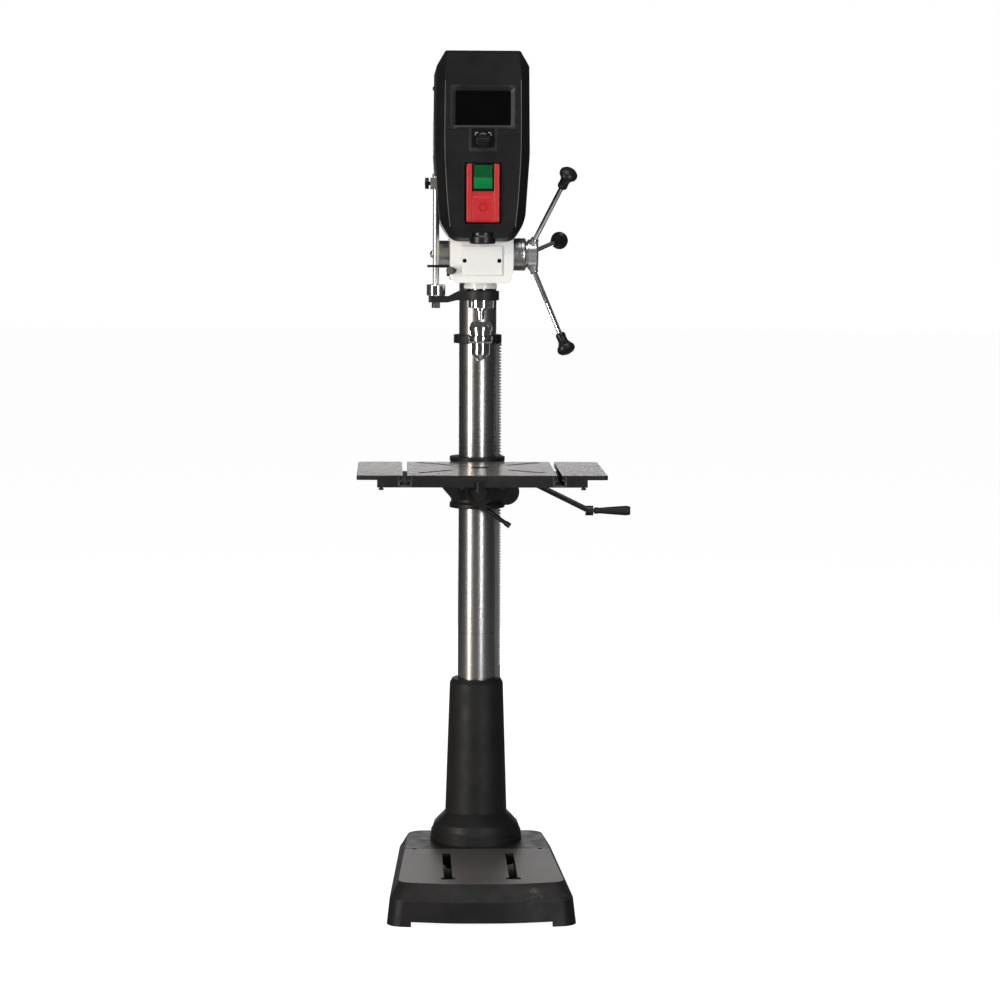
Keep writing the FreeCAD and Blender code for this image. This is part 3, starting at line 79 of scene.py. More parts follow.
# ---------------------------------------------------------------- shader building
class Look:
    """A procedural material and short calls that add nodes to it."""

    COLOUR_A, COLOUR_B, COLOUR_MIXED = 6, 7, 2

    def __init__(self, name):
        self.material = bpy.data.materials.new(name)
        self.material.use_nodes = True
        self.tree = self.material.node_tree
        self.shader = self.tree.nodes["Principled BSDF"]
        self.place = self.tree.nodes.new("ShaderNodeTexCoord").outputs["Object"]

    def node(self, kind, **settings):
        made = self.tree.nodes.new(kind)
        for key, value in settings.items():
            setattr(made, key, value)
        return made

    def wire(self, value, socket):
        """Joins an output to a socket, or sets the socket to a plain value."""
        if isinstance(value, bpy.types.NodeSocket):
            self.tree.links.new(value, socket)
        else:
            socket.default_value = value

    def stretched(self, scale, turn=(0, 0, 0)):
        """Coordinates scaled and turned, which draw a pattern out along a direction."""
        made = self.node("ShaderNodeMapping")
        self.wire(self.place, made.inputs["Vector"])
        made.inputs["Scale"].default_value = scale
        made.inputs["Rotation"].default_value = turn
        return made.outputs["Vector"]

    def noise(self, scale, detail=4.0, rough=0.55, where=None):
        """Cloudy values round a half; a higher scale is finer."""
        made = self.node("ShaderNodeTexNoise")
        self.wire(where if where is not None else self.place, made.inputs["Vector"])
        made.inputs["Scale"].default_value = scale
        made.inputs["Detail"].default_value = detail
        made.inputs["Roughness"].default_value = rough
        return made.outputs["Fac"]

    def maths(self, operation, a, b=0.0):
        made = self.node("ShaderNodeMath", operation=operation)
        self.wire(a, made.inputs[0])
        self.wire(b, made.inputs[1])
        return made.outputs[0]

    def product(self, first, *others):
        result = first
        for other in others:
            result = self.maths("MULTIPLY", result, other)
        return result

    def spread(self, value, low, high, to_low=0.0, to_high=1.0):
        """Carries the range low to high over to to_low to to_high, and clips what lies outside."""
        made = self.node("ShaderNodeMapRange")
        self.wire(value, made.inputs["Value"])
        for name, number in (("From Min", low), ("From Max", high), ("To Min", to_low), ("To Max", to_high)):
            made.inputs[name].default_value = number
        return made.outputs["Result"]

    def blend(self, share, first, second):
        """The first colour where share is 0, the second where it is 1."""
        made = self.node("ShaderNodeMix", data_type="RGBA")
        self.wire(share, made.inputs["Factor"])
        self.wire(first, made.inputs[self.COLOUR_A])
        self.wire(second, made.inputs[self.COLOUR_B])
        return made.outputs[self.COLOUR_MIXED]

    def axis(self, name, source=None):
        """One coordinate of the place on the object, or of another vector."""
        made = self.node("ShaderNodeSeparateXYZ")
        self.wire(source if source is not None else self.place, made.inputs[0])
        return made.outputs[name]

    def facing_up(self):
        """1 on level upper faces, 0 on upright walls."""
        made = self.node("ShaderNodeTexCoord")
        return self.axis("Z", made.outputs["Normal"])

    def rounded(self, radius):
        """The surface's direction, turned smoothly across sharp edges."""
        made = self.node("ShaderNodeBevel", samples=4)
        made.inputs["Radius"].default_value = radius
        return made.outputs["Normal"]

    def edge_share(self, radius):
        """1 on sharp edges, 0 on open faces."""
        plain = self.node("ShaderNodeNewGeometry").outputs["Normal"]
        dot = self.node("ShaderNodeVectorMath", operation="DOT_PRODUCT")
        self.wire(self.rounded(radius), dot.inputs[0])
        self.wire(plain, dot.inputs[1])
        gap = self.maths("SUBTRACT", 1.0, dot.outputs["Value"])
        return self.spread(gap, 0.02, 0.25)

    def bump(self, height, strength, distance, radius):
        """Fine relief, over edges that are rounded by a radius."""
        made = self.node("ShaderNodeBump")
        made.inputs["Strength"].default_value = strength
        made.inputs["Distance"].default_value = distance
        self.wire(height, made.inputs["Height"])
        self.wire(self.rounded(radius), made.inputs["Normal"])
        return made.outputs["Normal"]

    def finish(self, color, rough, metallic=0.0, normal=None, **plain):
        """Joins the results to the shader and gives the material."""
        self.wire(color, self.shader.inputs["Base Color"])
        self.wire(rough, self.shader.inputs["Roughness"])
        self.wire(metallic, self.shader.inputs["Metallic"])
        if normal is not None:
            self.wire(normal, self.shader.inputs["Normal"])
        for name, value in plain.items():
            self.shader.inputs[name.replace("_", " ")].default_value = value
        return self.material


def rgb(r, g, b, tone=1.0):
    return (r * tone, g * tone, b * tone, 1.0)


# ---------------------------------------------------------------- looks
def black_enamel(name="black_enamel", base=0.009, grain=900.0, rough=0.44):
    """Satin black paint with a fine orange-peel skin and a little grey rubbed on the edges."""
    look = Look(name)
    cloud = look.noise(14.0, 5.0)
    fine = look.noise(grain, 3.0)
    tint = look.blend(look.spread(cloud, 0.35, 0.7), rgb(base, base * 0.96, base * 0.95),
                      rgb(base * 1.9, base * 1.8, base * 1.75))
    worn = look.product(look.edge_share(0.0012), look.spread(look.noise(60.0), 0.45, 0.7), 0.35)
    color = look.blend(worn, tint, rgb(0.12, 0.11, 0.10))
    shine = look.spread(look.noise(35.0, 6.0), 0.3, 0.7, rough - 0.08, rough + 0.14)
    return look.finish(color, shine, 0.0, look.bump(fine, 0.22, 0.0006, 0.0012), Specular_IOR_Level=0.28)


def ground_faces(name, level, rough, metallic, tone, front_limit=None, shoulder=None, rubbed=None):
    """Black enamelled casting whose flat upper face is ground bright.

    level is the ground face's height, rough its lowest roughness, metallic how far it is unpainted metal
    and tone scales its grey. Only what lies in front of front_limit is ground. Below shoulder the paint
    is darkened as painted shade. Above it, right of rubbed[0] and in front of rubbed[1], the paint is
    scraped.
    """
    look = Look(name)
    height = look.axis("Z")
    top = look.product(look.maths("GREATER_THAN", height, level - 0.0012),
                       look.maths("GREATER_THAN", look.facing_up(), 0.95))
    if front_limit is not None:
        ragged = look.spread(look.noise(220.0), 0.3, 0.7, -0.0006, 0.0006)
        edge = look.maths("ADD", look.axis("Y"), ragged)
        top = look.product(top, look.maths("LESS_THAN", edge, front_limit))
    cuts = look.noise(34.0, 8.0, 0.7, look.stretched((0.35, 26.0, 1.0)))
    cloud = look.noise(6.0, 6.0, 0.6)
    pale = look.blend(look.spread(cuts, 0.3, 0.7), rgb(0.23, 0.208, 0.197, tone),
                      rgb(0.33, 0.30, 0.285, tone))
    stained = look.blend(look.spread(cloud, 0.45, 0.75, 0.0, 0.55), pale, rgb(0.19, 0.166, 0.155, tone))
    paint = look.blend(look.spread(look.noise(12.0, 5.0), 0.35, 0.7), rgb(0.009, 0.0085, 0.0085),
                       rgb(0.021, 0.019, 0.0185))
    # Painted shade: the skirt's paint is darkened below the shoulder.
    if shoulder is not None:
        under = look.spread(height, shoulder - 0.003, shoulder + 0.001, 0.75, 0.0)
        paint = look.blend(under, paint, rgb(0.006, 0.0055, 0.006))
    scuff = look.noise(16.0, 9.0, 0.75, look.stretched((2.2, 2.2, 9.0), (0.5, 0.3, 0.6)))
    worn = look.product(look.spread(scuff, 0.62, 0.78), 0.30)
    if rubbed is not None:
        scratches = look.noise(30.0, 9.0, 0.8, look.stretched((1.0, 1.0, 3.0), (0.2, 0.5, 0.4)))
        scraped = look.product(look.spread(look.axis("X"), rubbed[0], rubbed[0] + 0.04),
                               look.maths("LESS_THAN", look.axis("Y"), rubbed[1]),
                               look.maths("GREATER_THAN", height, shoulder + 0.002),
                               look.spread(scratches, 0.52, 0.72), 0.7)
        worn = look.maths("MAXIMUM", worn, scraped)
    edge = look.product(look.edge_share(0.0016), look.spread(look.noise(50.0), 0.4, 0.7, 0.1, 0.55))
    paint = look.blend(look.maths("MAXIMUM", worn, edge), paint, rgb(0.13, 0.115, 0.105))
    color = look.blend(top, paint, stained)
    bright = look.spread(cuts, 0.3, 0.7, rough, rough + 0.16)
    dull = look.spread(look.noise(40.0, 6.0), 0.3, 0.7, 0.40, 0.58)
    shine = look.maths("ADD", look.product(top, bright),
                       look.product(look.maths("SUBTRACT", 1.0, top), dull))
    skin = look.maths("ADD", look.product(look.noise(700.0, 3.0), 0.6), look.product(cuts, 0.15))
    metal = look.product(top, metallic)
    return look.finish(color, shine, metal, look.bump(skin, 0.16, 0.0006, 0.0014), Specular_IOR_Level=0.2)


def turned_steel(name, tone, rough, lines=2400.0, warm=0.03, axis="Z", depth=0.018, metal=1.0, line_at=None):
    """Steel finished on a lathe or grinder, with fine rings round its axis.

    lines sets how close the rings lie, warm how much green and blue its grey lacks, and line_at the
    height of a faint dark line round it.
    """
    look = Look(name)
    coarse = 30.0
    scale = [0.6, 0.6, 0.6]
    scale["XYZ".index(axis)] = lines / coarse
    rings = look.noise(coarse, 5.0, 0.75, look.stretched(scale))
    smear = look.noise(7.0, 6.0, 0.65)
    color = look.blend(look.spread(smear, 0.3, 0.75), rgb(tone, tone * (1 - warm), tone * (1 - 1.8 * warm)),
                       rgb(tone * 0.78, tone * (0.78 - warm), tone * (0.77 - 1.6 * warm)))
    if line_at is not None:
        gap = look.maths("ABSOLUTE", look.maths("SUBTRACT", look.axis("Z"), line_at))
        color = look.blend(look.spread(gap, 0.0004, 0.0012, 0.4, 0.0), color, rgb(0.08, 0.07, 0.065))
    shine = look.maths("ADD", look.spread(rings, 0.3, 0.7, rough - 0.03, rough + 0.03),
                       look.spread(smear, 0.4, 0.8, 0.0, 0.06))
    return look.finish(color, shine, metal, look.bump(rings, depth, 0.0002, 0.0006))


def white_enamel():
    """Warm white gloss paint on a casting, slightly wavy, with dust, and two tapped holes painted as dark
    discs of shade.
    """
    look = Look("white_enamel")
    waves = look.noise(45.0, 5.0)
    cloud = look.noise(18.0, 6.0, 0.6)
    color = look.blend(look.spread(cloud, 0.35, 0.75), rgb(0.93, 0.918, 0.885), rgb(0.88, 0.865, 0.825))
    specks = look.spread(look.noise(160.0, 3.0), 0.70, 0.80, 0.0, 0.35)
    color = look.blend(specks, color, rgb(0.5, 0.46, 0.41))
    edge = look.product(look.edge_share(0.002), look.spread(look.noise(80.0), 0.5, 0.75, 0.0, 0.4))
    color = look.blend(edge, color, rgb(0.48, 0.45, 0.41))
    # Painted shade: two dark discs on the nose stand for the tapped holes.
    across = look.maths("SUBTRACT", look.maths("ABSOLUTE", look.axis("X")), TAPPED_X)
    rise = look.maths("SUBTRACT", look.axis("Z"), TAPPED_Z)
    away = look.maths("SQRT", look.maths("ADD", look.product(across, across), look.product(rise, rise)))
    hole_shade = look.product(look.maths("LESS_THAN", away, TAPPED_RADIUS),
                        look.maths("LESS_THAN", look.axis("Y"), NOSE_BACK))
    color = look.blend(hole_shade, color, rgb(0.012, 0.011, 0.010))
    shine = look.spread(cloud, 0.3, 0.8, 0.26, 0.42)
    return look.finish(color, shine, 0.0, look.bump(waves, 0.18, 0.0012, 0.0025), Coat_Weight=0.3,
                       Coat_Roughness=0.15)


def moulded(name, color, rough, grain=1600.0, depth=0.12, spread=1.5, radius=0.0008, specular=0.3):
    """Moulded plastic: spark-eroded grain, cloudy gloss, faint rub marks.

    Its colour varies up to spread times as bright.
    """
    look = Look(name)
    cloud = look.noise(16.0, 6.0, 0.6)
    second = tuple(min(1.0, c * spread) for c in color)
    tint = look.blend(look.spread(cloud, 0.35, 0.75), rgb(*color), rgb(*second))
    rub = look.noise(24.0, 9.0, 0.8, look.stretched((1.0, 1.0, 6.0), (0.4, 0.2, 0.3)))
    pale = rgb(*(c * 0.5 + 0.1 for c in color))
    tint = look.blend(look.spread(rub, 0.66, 0.80, 0.0, 0.12), tint, pale)
    shine = look.spread(look.noise(30.0, 6.0), 0.3, 0.7, rough - 0.06, rough + 0.1)
    normal = look.bump(look.noise(grain, 2.0), depth, 0.0004, radius)
    return look.finish(tint, shine, 0.0, normal, Specular_IOR_Level=specular)


def chrome():
    """Bright plating with a faint haze."""
    look = Look("chrome")
    haze = look.noise(25.0, 6.0, 0.7)
    color = look.blend(look.spread(haze, 0.4, 0.75), rgb(0.80, 0.79, 0.78), rgb(0.66, 0.645, 0.63))
    shine = look.spread(haze, 0.3, 0.8, 0.07, 0.20)
    fine = look.noise(40.0, 4.0, 0.7, look.stretched((0.6, 0.6, 30.0)))
    return look.finish(color, shine, 1.0, look.bump(fine, 0.03, 0.0002, 0.0006))


def button_green(level):
    """Green rocker, coloured darker above a level and lighter below."""
    look = Look("button_green")
    low = look.maths("LESS_THAN", look.axis("Z"), level)
    cloud = look.spread(look.noise(60.0, 4.0), 0.35, 0.7)
    dark = look.blend(cloud, rgb(0.002, 0.066, 0.018), rgb(0.003, 0.084, 0.024))
    light = look.blend(cloud, rgb(0.003, 0.155, 0.036), rgb(0.004, 0.185, 0.044))
    return look.finish(look.blend(low, dark, light), look.spread(cloud, 0.0, 1.0, 0.30, 0.42), 0.0,
                       look.bump(look.noise(900.0, 2.0), 0.08, 0.0003, 0.0012), Specular_IOR_Level=0.15)


def bezel_plastic(inner, outer):
    """Gloss black frame, painted dull grey as highlight where its sides slope, from inner to outer from the
    middle.
    """
    look = Look("bezel_plastic")
    away = look.maths("ABSOLUTE", look.axis("X"))
    slope = look.product(look.maths("GREATER_THAN", away, inner), look.maths("LESS_THAN", away, outer))
    cloud = look.noise(30.0, 5.0)
    plain = look.blend(look.spread(cloud, 0.35, 0.75), rgb(0.008, 0.008, 0.0085), rgb(0.012, 0.012, 0.0125))
    # Painted highlight: rubbed is the dull grey laid on the sloping sides, where they catch the light.
    rubbed = look.blend(look.spread(cloud, 0.35, 0.75), rgb(0.018, 0.0175, 0.019), rgb(0.028, 0.027, 0.029))
    return look.finish(look.blend(slope, plain, rubbed), look.spread(cloud, 0.3, 0.7, 0.24, 0.34), 0.0,
                       look.bump(look.noise(1800.0, 2.0), 0.05, 0.0003, 0.0006))


def screen_glass():
    """Dark display glass with a thin film and a little dust."""
    look = Look("screen_glass")
    film = look.noise(9.0, 5.0, 0.6)
    dust = look.spread(look.noise(420.0, 2.0), 0.74, 0.80, 0.0, 0.15)
    color = look.blend(dust, rgb(0.0012, 0.0012, 0.0016), rgb(0.03, 0.03, 0.03))
    return look.finish(color, look.spread(film, 0.3, 0.8, 0.05, 0.14), 0.0, Specular_IOR_Level=0.3)


LOOKS = {
    "black_enamel": black_enamel(),
    "foot_enamel": black_enamel("foot_enamel", base=0.0075, grain=650.0, rough=0.50),
    "base_iron": ground_faces("base_iron", BASE_TOP, rough=0.40, metallic=0.45, tone=0.5,
                              front_limit=BASE_GROUND_LIMIT, shoulder=BASE_SHOULDER, rubbed=BASE_RUBBED),
    "table_iron": ground_faces("table_iron", TABLE_TOP, rough=0.18, metallic=0.68, tone=1.3),
    "column_steel": turned_steel("column_steel", 0.42, 0.27, warm=0.045, depth=0.002, line_at=COLUMN_LINE),
    "steel": turned_steel("steel", 0.55, 0.24, lines=1500.0),
    "bright_steel": turned_steel("bright_steel", 0.78, 0.36, lines=1500.0, warm=0.015),
    "steel_x": turned_steel("steel_x", 0.50, 0.22, lines=1500.0, axis="X"),
    "dark_steel": turned_steel("dark_steel", 0.06, 0.34, lines=900.0),
    "white_enamel": white_enamel(),
    "cover_plastic": moulded("cover_plastic", (0.0062, 0.0059, 0.0063), 0.42, specular=0.22),
    "gloss_black": moulded("gloss_black", (0.006, 0.006, 0.0065), 0.22, 2200.0, 0.03, specular=0.5),
    # Partly painted shade: a flat, very dark black for the plate in the dial's recess and the surround in the
    # button's gap.
    "black_surround_and_shade": moulded("black_surround_and_shade", (0.003, 0.003, 0.003), 0.6, specular=0.1),
    "cap_black": moulded("cap_black", (0.006, 0.006, 0.0065), 0.30, 2200.0, 0.03, specular=0.35),
    "knob_black": moulded("knob_black", (0.008, 0.008, 0.0085), 0.30, 1800.0, 0.06),
    "grip_rubber": moulded("grip_rubber", (0.011, 0.0105, 0.0105), 0.50, 1200.0, 0.2),
    "plate_grey": moulded("plate_grey", (0.50, 0.50, 0.51), 0.35, 1200.0, 0.05, spread=1.1),
    "paddle_red": moulded("paddle_red", (0.46, 0.014, 0.017), 0.34, 1400.0, 0.06, spread=1.15,
                          radius=0.0015, specular=0.5),
    "circuit_green": moulded("circuit_green", (0.01, 0.10, 0.03), 0.4),
    "chrome": chrome(),
    "hub_steel": turned_steel("hub_steel", 0.42, 0.30, lines=1500.0, warm=0.02, axis="X"),
    "hub_bright": turned_steel("hub_bright", 0.74, 0.30, lines=1500.0, warm=0.01, axis="X"),
    "rack_steel": turned_steel("rack_steel", 0.20, 0.42, lines=1500.0, warm=0.02, metal=0.8),
    # Painted highlight: the light grey of the crease beads stands for light caught along the creases.
    "crease_highlight_grey": moulded("crease_highlight_grey", (0.105, 0.103, 0.108), 0.30, 1400.0, 0.05),
    "frame_grey": moulded("frame_grey", (0.017, 0.0165, 0.0175), 0.34, 1400.0, 0.05),
    "mark_white": moulded("mark_white", (0.75, 0.75, 0.75), 0.5, 900.0, 0.03, spread=1.02),
    "paddle_ring_red": moulded("paddle_ring_red", (0.34, 0.008, 0.010), 0.4, 1400.0, 0.06, spread=1.15),
    "worn_iron": turned_steel("worn_iron", 0.16, 0.45, lines=900.0),
    "button_green": button_green(BUTTON_STEP),
    "screen_glass": screen_glass(),
    "bezel_plastic": bezel_plastic(*BEZEL_SLOPE),
}
NODES_BY_LOOK = {
    "base_iron": ("base_casting",),
    "table_iron": ("table_casting",),
    "foot_enamel": ("column_foot",),
    "black_enamel": ("rack_ring", "table_bracket", "gear_cover", "depth_collar", "pointer_bracket",
                     "tilt_bolt", "apron_screws", "motor_housing"),
    "white_enamel": ("head_casting",),
    "column_steel": ("column",),
    "rack_steel": ("column_rack",),
    "steel": ("lift_gear", "spindle", "depth_rod_bolt", "chuck_jaw_1", "chuck_jaw_2", "chuck_jaw_3",
              "quill_bearings", "rotor_bearings", "motor_stator", "motor_rotor", "return_spring"),
    "steel_x": ("worm_shaft", "feed_pinion_shaft", "feed_bearing"),
    "bright_steel": ("depth_stop", "depth_rod"),
    "hub_bright": ("spring_cup", "feed_hub"),
    "dark_steel": ("quill_lock_screw", "column_foot_bolts", "column_clamp_screws", "rack_ring_screw",
                   "crank_arm", "column_lock_lever", "cover_screws"),
    "chrome": ("feed_spokes", "quill", "chuck_body", "chuck_sleeve", "depth_nut", "spring_nut"),
    "cover_plastic": ("front_cover", "rear_cover"),
    "grip_rubber": ("power_inlet", "crank_grip"),
    "knob_black": ("feed_knobs", "depth_stop_button"),
    "gloss_black": ("control_dial", "switch_housing"),
    "bezel_plastic": ("display_bezel",),
    "screen_glass": ("display_screen",),
    "cap_black": ("cover_cap",),
    "plate_grey": ("rating_plate",),
    "paddle_red": ("stop_paddle",),
    "button_green": ("start_button",),
    "circuit_green": ("control_board",),
}
for look_name, node_names in NODES_BY_LOOK.items():
    for node_name in node_names:
        for part_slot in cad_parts[node_name].material_slots:
            part_slot.material = LOOKS[look_name]


# ---------------------------------------------------------------- making pieces
# The faces of a slab whose corners are four round its first face, then the same four on its second.
SLAB_FACES = [(0, 1, 2, 3), (4, 5, 6, 7), (0, 1, 5, 4), (1, 2, 6, 5), (2, 3, 7, 6), (3, 0, 4, 7)]


def piece(name, corners, faces, look, body, smooth=False):
    """A mesh object that rides on a CAD body."""
    mesh = bpy.data.meshes.new(name)
    mesh.from_pydata([tuple(c) for c in corners], [], faces)
    mesh.update()
    thing = bpy.data.objects.new(name, mesh)
    bpy.context.scene.collection.objects.link(thing)
    for polygon in mesh.polygons:
        polygon.use_smooth = smooth
    mesh.materials.append(LOOKS[look])
    cleaned = bmesh.new()
    cleaned.from_mesh(mesh)
    bmesh.ops.recalc_face_normals(cleaned, faces=cleaned.faces)
    cleaned.to_mesh(mesh)
    cleaned.free()
    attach(thing, body)
    return thing


def round_edges(thing, width):
    """Rounds a piece's sharp edges."""
    made = thing.modifiers.new("rounded", "BEVEL")
    made.width, made.segments = width, 2
    made.limit_method, made.angle_limit = "ANGLE", math.radians(40)


def bar(name, low, high, look, body, rounding):
    """A block between two corners, its edges rounded."""
    corners = [(x, y, z) for x in (low[0], high[0]) for y in (low[1], high[1]) for z in (low[2], high[2])]
    faces = [(0, 1, 3, 2), (4, 6, 7, 5), (0, 4, 5, 1), (2, 3, 7, 6), (0, 2, 6, 4), (1, 5, 7, 3)]
    round_edges(piece(name, corners, faces, look, body), rounding)


def mirrored_bars(name, inner, outer, low, high, look, body, rounding):
    """A bar on each side, from inner to outer from the middle; low and high are its (y, z)."""
    for side, word in SIDES:
        first, last = sorted((side * inner, side * outer))
        bar(name + word, (first, *low), (last, *high), look, body, rounding)


def slab(name, foot, across, along, thick, look, body, faces=SLAB_FACES):
    """A flat mark: foot is the middle of one end, and across is half its width, along its length and
    thick its thickness, each as a vector.
    """
    flat = [foot - across, foot + across, foot + across + along, foot - across + along]
    piece(name, flat + [corner + thick for corner in flat], faces, look, body)


def axes_of(axis):
    """An axis at unit length, and two directions square to it."""
    axis = Vector(axis).normalized()
    side = axis.orthogonal().normalized()
    return axis, side, axis.cross(side)


def lathe(name, profile, base, axis, look, body, steps=96, ripple=None):
    """Turns (radius, height) pairs about an axis; ripple gives what a step and a height add to the radius."""
    axis, side, other = axes_of(axis)
    base = Vector(base)
    corners, faces = [], []
    for radius, height in profile:
        for i in range(steps):
            angle = 2 * math.pi * i / steps
            reach = radius + (ripple(i, height) if ripple else 0.0)
            corners.append(base + axis * height + (side * math.cos(angle) + other * math.sin(angle)) * reach)
    for row in range(len(profile) - 1):
        for i in range(steps):
            j = (i + 1) % steps
            faces.append((row * steps + i, row * steps + j, (row + 1) * steps + j, (row + 1) * steps + i))
    if profile[0] != profile[-1]:
        faces.append(tuple(range(steps)))
        faces.append(tuple(range((len(profile) - 1) * steps, len(profile) * steps)))
    thing = piece(name, corners, faces, look, body, True)
    crisp = thing.modifiers.new("crisp", "EDGE_SPLIT")
    crisp.split_angle = math.radians(32)
    return thing


def tube(name, points, radius, look, body):
    """A round bead along a smooth line."""
    data = bpy.data.curves.new(name, "CURVE")
    data.dimensions = "3D"
    data.bevel_depth, data.bevel_resolution = radius, 3
    line = data.splines.new("NURBS")
    line.points.add(len(points) - 1)
    for spot, point in zip(line.points, points):
        spot.co = (*point, 1.0)
    line.order_u = 3
    line.use_endpoint_u = True
    data.materials.append(LOOKS[look])
    thing = bpy.data.objects.new(name, data)
    bpy.context.scene.collection.objects.link(thing)
    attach(thing, body)


def frame_ring(name, outer, inner, front, back, look, body):
    """A rectangular frame facing -Y: outer and inner are (half width, low, high)."""
    corners, faces = [], []
    for y in (front, back):
        for half, low, high in (outer, inner):
            corners += [(-half, y, low), (half, y, low), (half, y, high), (-half, y, high)]
    for i in range(4):
        j = (i + 1) % 4
        faces += [(i, j, 4 + j, 4 + i), (8 + i, 8 + j, 12 + j, 12 + i), (i, j, 8 + j, 8 + i),
                  (4 + i, 4 + j, 12 + j, 12 + i)]
    round_edges(piece(name, corners, faces, look, body), 0.0006)


# ---------------------------------------------------------------- added pieces
def add_cover_creases():
    """Beads down the two creases of the cover's face, coloured light grey as a painted highlight."""
    crease = [(COVER_HALF - 0.0193, COVER_TOP - 0.060), (COVER_HALF - 0.0187, COVER_TOP - 0.120),
              (COVER_HALF - 0.0185, COVER_TOP - 0.199), (COVER_HALF - 0.0215, COVER_TOP - 0.262),
              (COVER_HALF - 0.0265, COVER_TOP - 0.325), (COVER_HALF - 0.0295, COVER_LOW + 0.030)]
    for side, word in SIDES:
        tube("cover_crease_" + word, [(side * x, COVER_FRONT + 0.0002, z) for x, z in crease], 0.0007,
             "crease_highlight_grey", "frame")


def add_dial_details():
    """The frame round the dial, the dark plate in it, partly painted shade of its recess, and three marks on
    each side of its top.
    """
    frame_ring("dial_frame", (0.0285, DIAL_HEIGHT - 0.0225, DIAL_HEIGHT + 0.0245),
               (0.0235, DIAL_HEIGHT - 0.0150, DIAL_HEIGHT + 0.0240), COVER_FRONT - 0.0009,
               COVER_FRONT + 0.001, "frame_grey", "frame")
    bar("dial_plate", (-0.0225, COVER_FRONT - 0.0006, DIAL_HEIGHT - 0.0140),
        (0.0225, COVER_FRONT + 0.001, DIAL_HEIGHT + 0.0235), "black_surround_and_shade", "frame", 0.0004)
    centre = Vector((0, COVER_FRONT - 0.0010, DIAL_HEIGHT))
    reach, half_width, thick = 0.0182, 0.0005, Vector((0, 0.0004, 0))
    for i, degrees in enumerate((-56, -45, -36, 36, 45, 56)):
        angle = math.radians(degrees)
        long = 0.0040 if abs(degrees) == 45 else 0.0022
        out = Vector((math.sin(angle), 0, math.cos(angle)))
        across = Vector((math.cos(angle), 0, -math.sin(angle))) * half_width
        slab("dial_mark_%d" % i, centre + out * reach, across, out * long, thick, "mark_white", "frame")


def add_cover_screws():
    """Cross-headed screws, two in each side of the cover, their cross recesses painted as dark bars of shade.
    """
    profile = [(0.0045, 0.0), (0.0045, 0.0008), (0.0036, 0.0019), (0.0018, 0.0024), (0.0005, 0.0025)]
    y, proud = -0.080, 0.00262
    long, short = 0.0026, 0.0006
    for i, (way, z) in enumerate((way, z) for way in (1, -1) for z in (1.500, 1.680)):
        x = way * 0.0952
        head = lathe("cover_screw_%d" % i, profile, (x, y, z), (way, 0, 0), "dark_steel", "frame", 32)
        if i == 0:
            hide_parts("cover_screws")
        first, last = sorted((x, x + way * proud))
        # Painted shade: each cross recess is two black bars laid over the head, not cut into it.
        for turn, (wide, tall) in enumerate(((short, long), (long, short))):
            bar("cover_screw_slot_%d_%d" % (i, turn), (first, y - wide, z - tall), (last, y + wide, z + tall),
                "knob_black", "frame", 0.0001)


def add_paddle_details():
    """Side rails, lower panel and ring of the stop paddle, and the surround, partly painted shade, and step
    of the button in it.
    """
    low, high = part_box("stop_paddle")
    front = low[1]
    notch = high[2] - 0.0525
    surround_half = 0.0222
    mirrored_bars("button_surround_", 0.0191, surround_half, (front - 0.0004, notch - 0.0016),
                  (front + 0.0030, high[2] - 0.0004), "black_surround_and_shade", "stop_paddle", 0.0003)
    bar("button_surround_low", (-surround_half, front - 0.0004, notch - 0.0018),
        (surround_half, front + 0.0030, notch + 0.0012), "black_surround_and_shade", "stop_paddle", 0.0003)
    mirrored_bars("paddle_rail_", 0.0226, 0.0322, (front - 0.0016, low[2] + 0.0008),
                  (front + 0.0015, high[2] - 0.0008), "paddle_red", "stop_paddle", 0.0014)
    bar("paddle_panel", (-0.0212, front - 0.0009, low[2] + 0.0030),
        (0.0212, front + 0.0015, high[2] - 0.0670), "paddle_red", "stop_paddle", 0.0009)
    ring = [(0.0066, 0.0), (0.0066, 0.0010), (0.0070, 0.0014), (0.0080, 0.0014), (0.0084, 0.0010),
            (0.0084, 0.0), (0.0066, 0.0)]
    lathe("paddle_ring", ring, (0, front - 0.0005, low[2] + 0.0300), (0, -1, 0), "paddle_ring_red",
          "stop_paddle", 64)
    low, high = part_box("start_button")
    bar("button_step", (low[0] + 0.0006, low[1] - 0.0008, low[2] + 0.0010),
        (high[0] - 0.0006, low[1] + 0.002, low[2] + 0.0195), "button_green", "start_button", 0.0008)


def add_feed_details():
    """Grooved bearing housing and the graduated ring beside the feed hub."""
    low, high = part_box("feed_bearing")
    centre = ((low[1] + high[1]) / 2, (low[2] + high[2]) / 2)
    bore, neck, outer = 0.0121, 0.0205, 0.0336
    groove = outer - 0.001
    profile = [(bore, 0.0155), (neck, 0.0155), (neck, 0.0643), (groove, 0.0643), (outer - 0.0002, 0.0651)]
    for x in (0.0700, 0.0745, 0.0835):
        profile += [(outer, x), (groove, x + 0.0002), (groove, x + 0.0012), (outer, x + 0.0014)]
    profile += [(outer, 0.0905), (0.0325, 0.0925), (0.0310, 0.0938), (bore, 0.0938), (bore, 0.0155)]
    sleeve = lathe("feed_bearing_turned", profile, (0, *centre), (1, 0, 0), "hub_steel", "frame", 128)
    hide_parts("feed_bearing")
    marks, half_width, thick = 36, 0.00025, 0.00012
    for i in range(marks):
        angle = 2 * math.pi * i / marks
        long = 0.0040 if i % 3 == 0 else 0.0022
        out = Vector((0, math.cos(angle), math.sin(angle)))
        across = Vector((0, -math.sin(angle), math.cos(angle))) * half_width
        start = Vector((0.0860, *centre)) + out * (outer - 0.00005)
        slab("feed_mark_%d" % i, start, across, Vector((long, 0, 0)), out * thick, "knob_black", "frame",
             SLAB_FACES[1:])


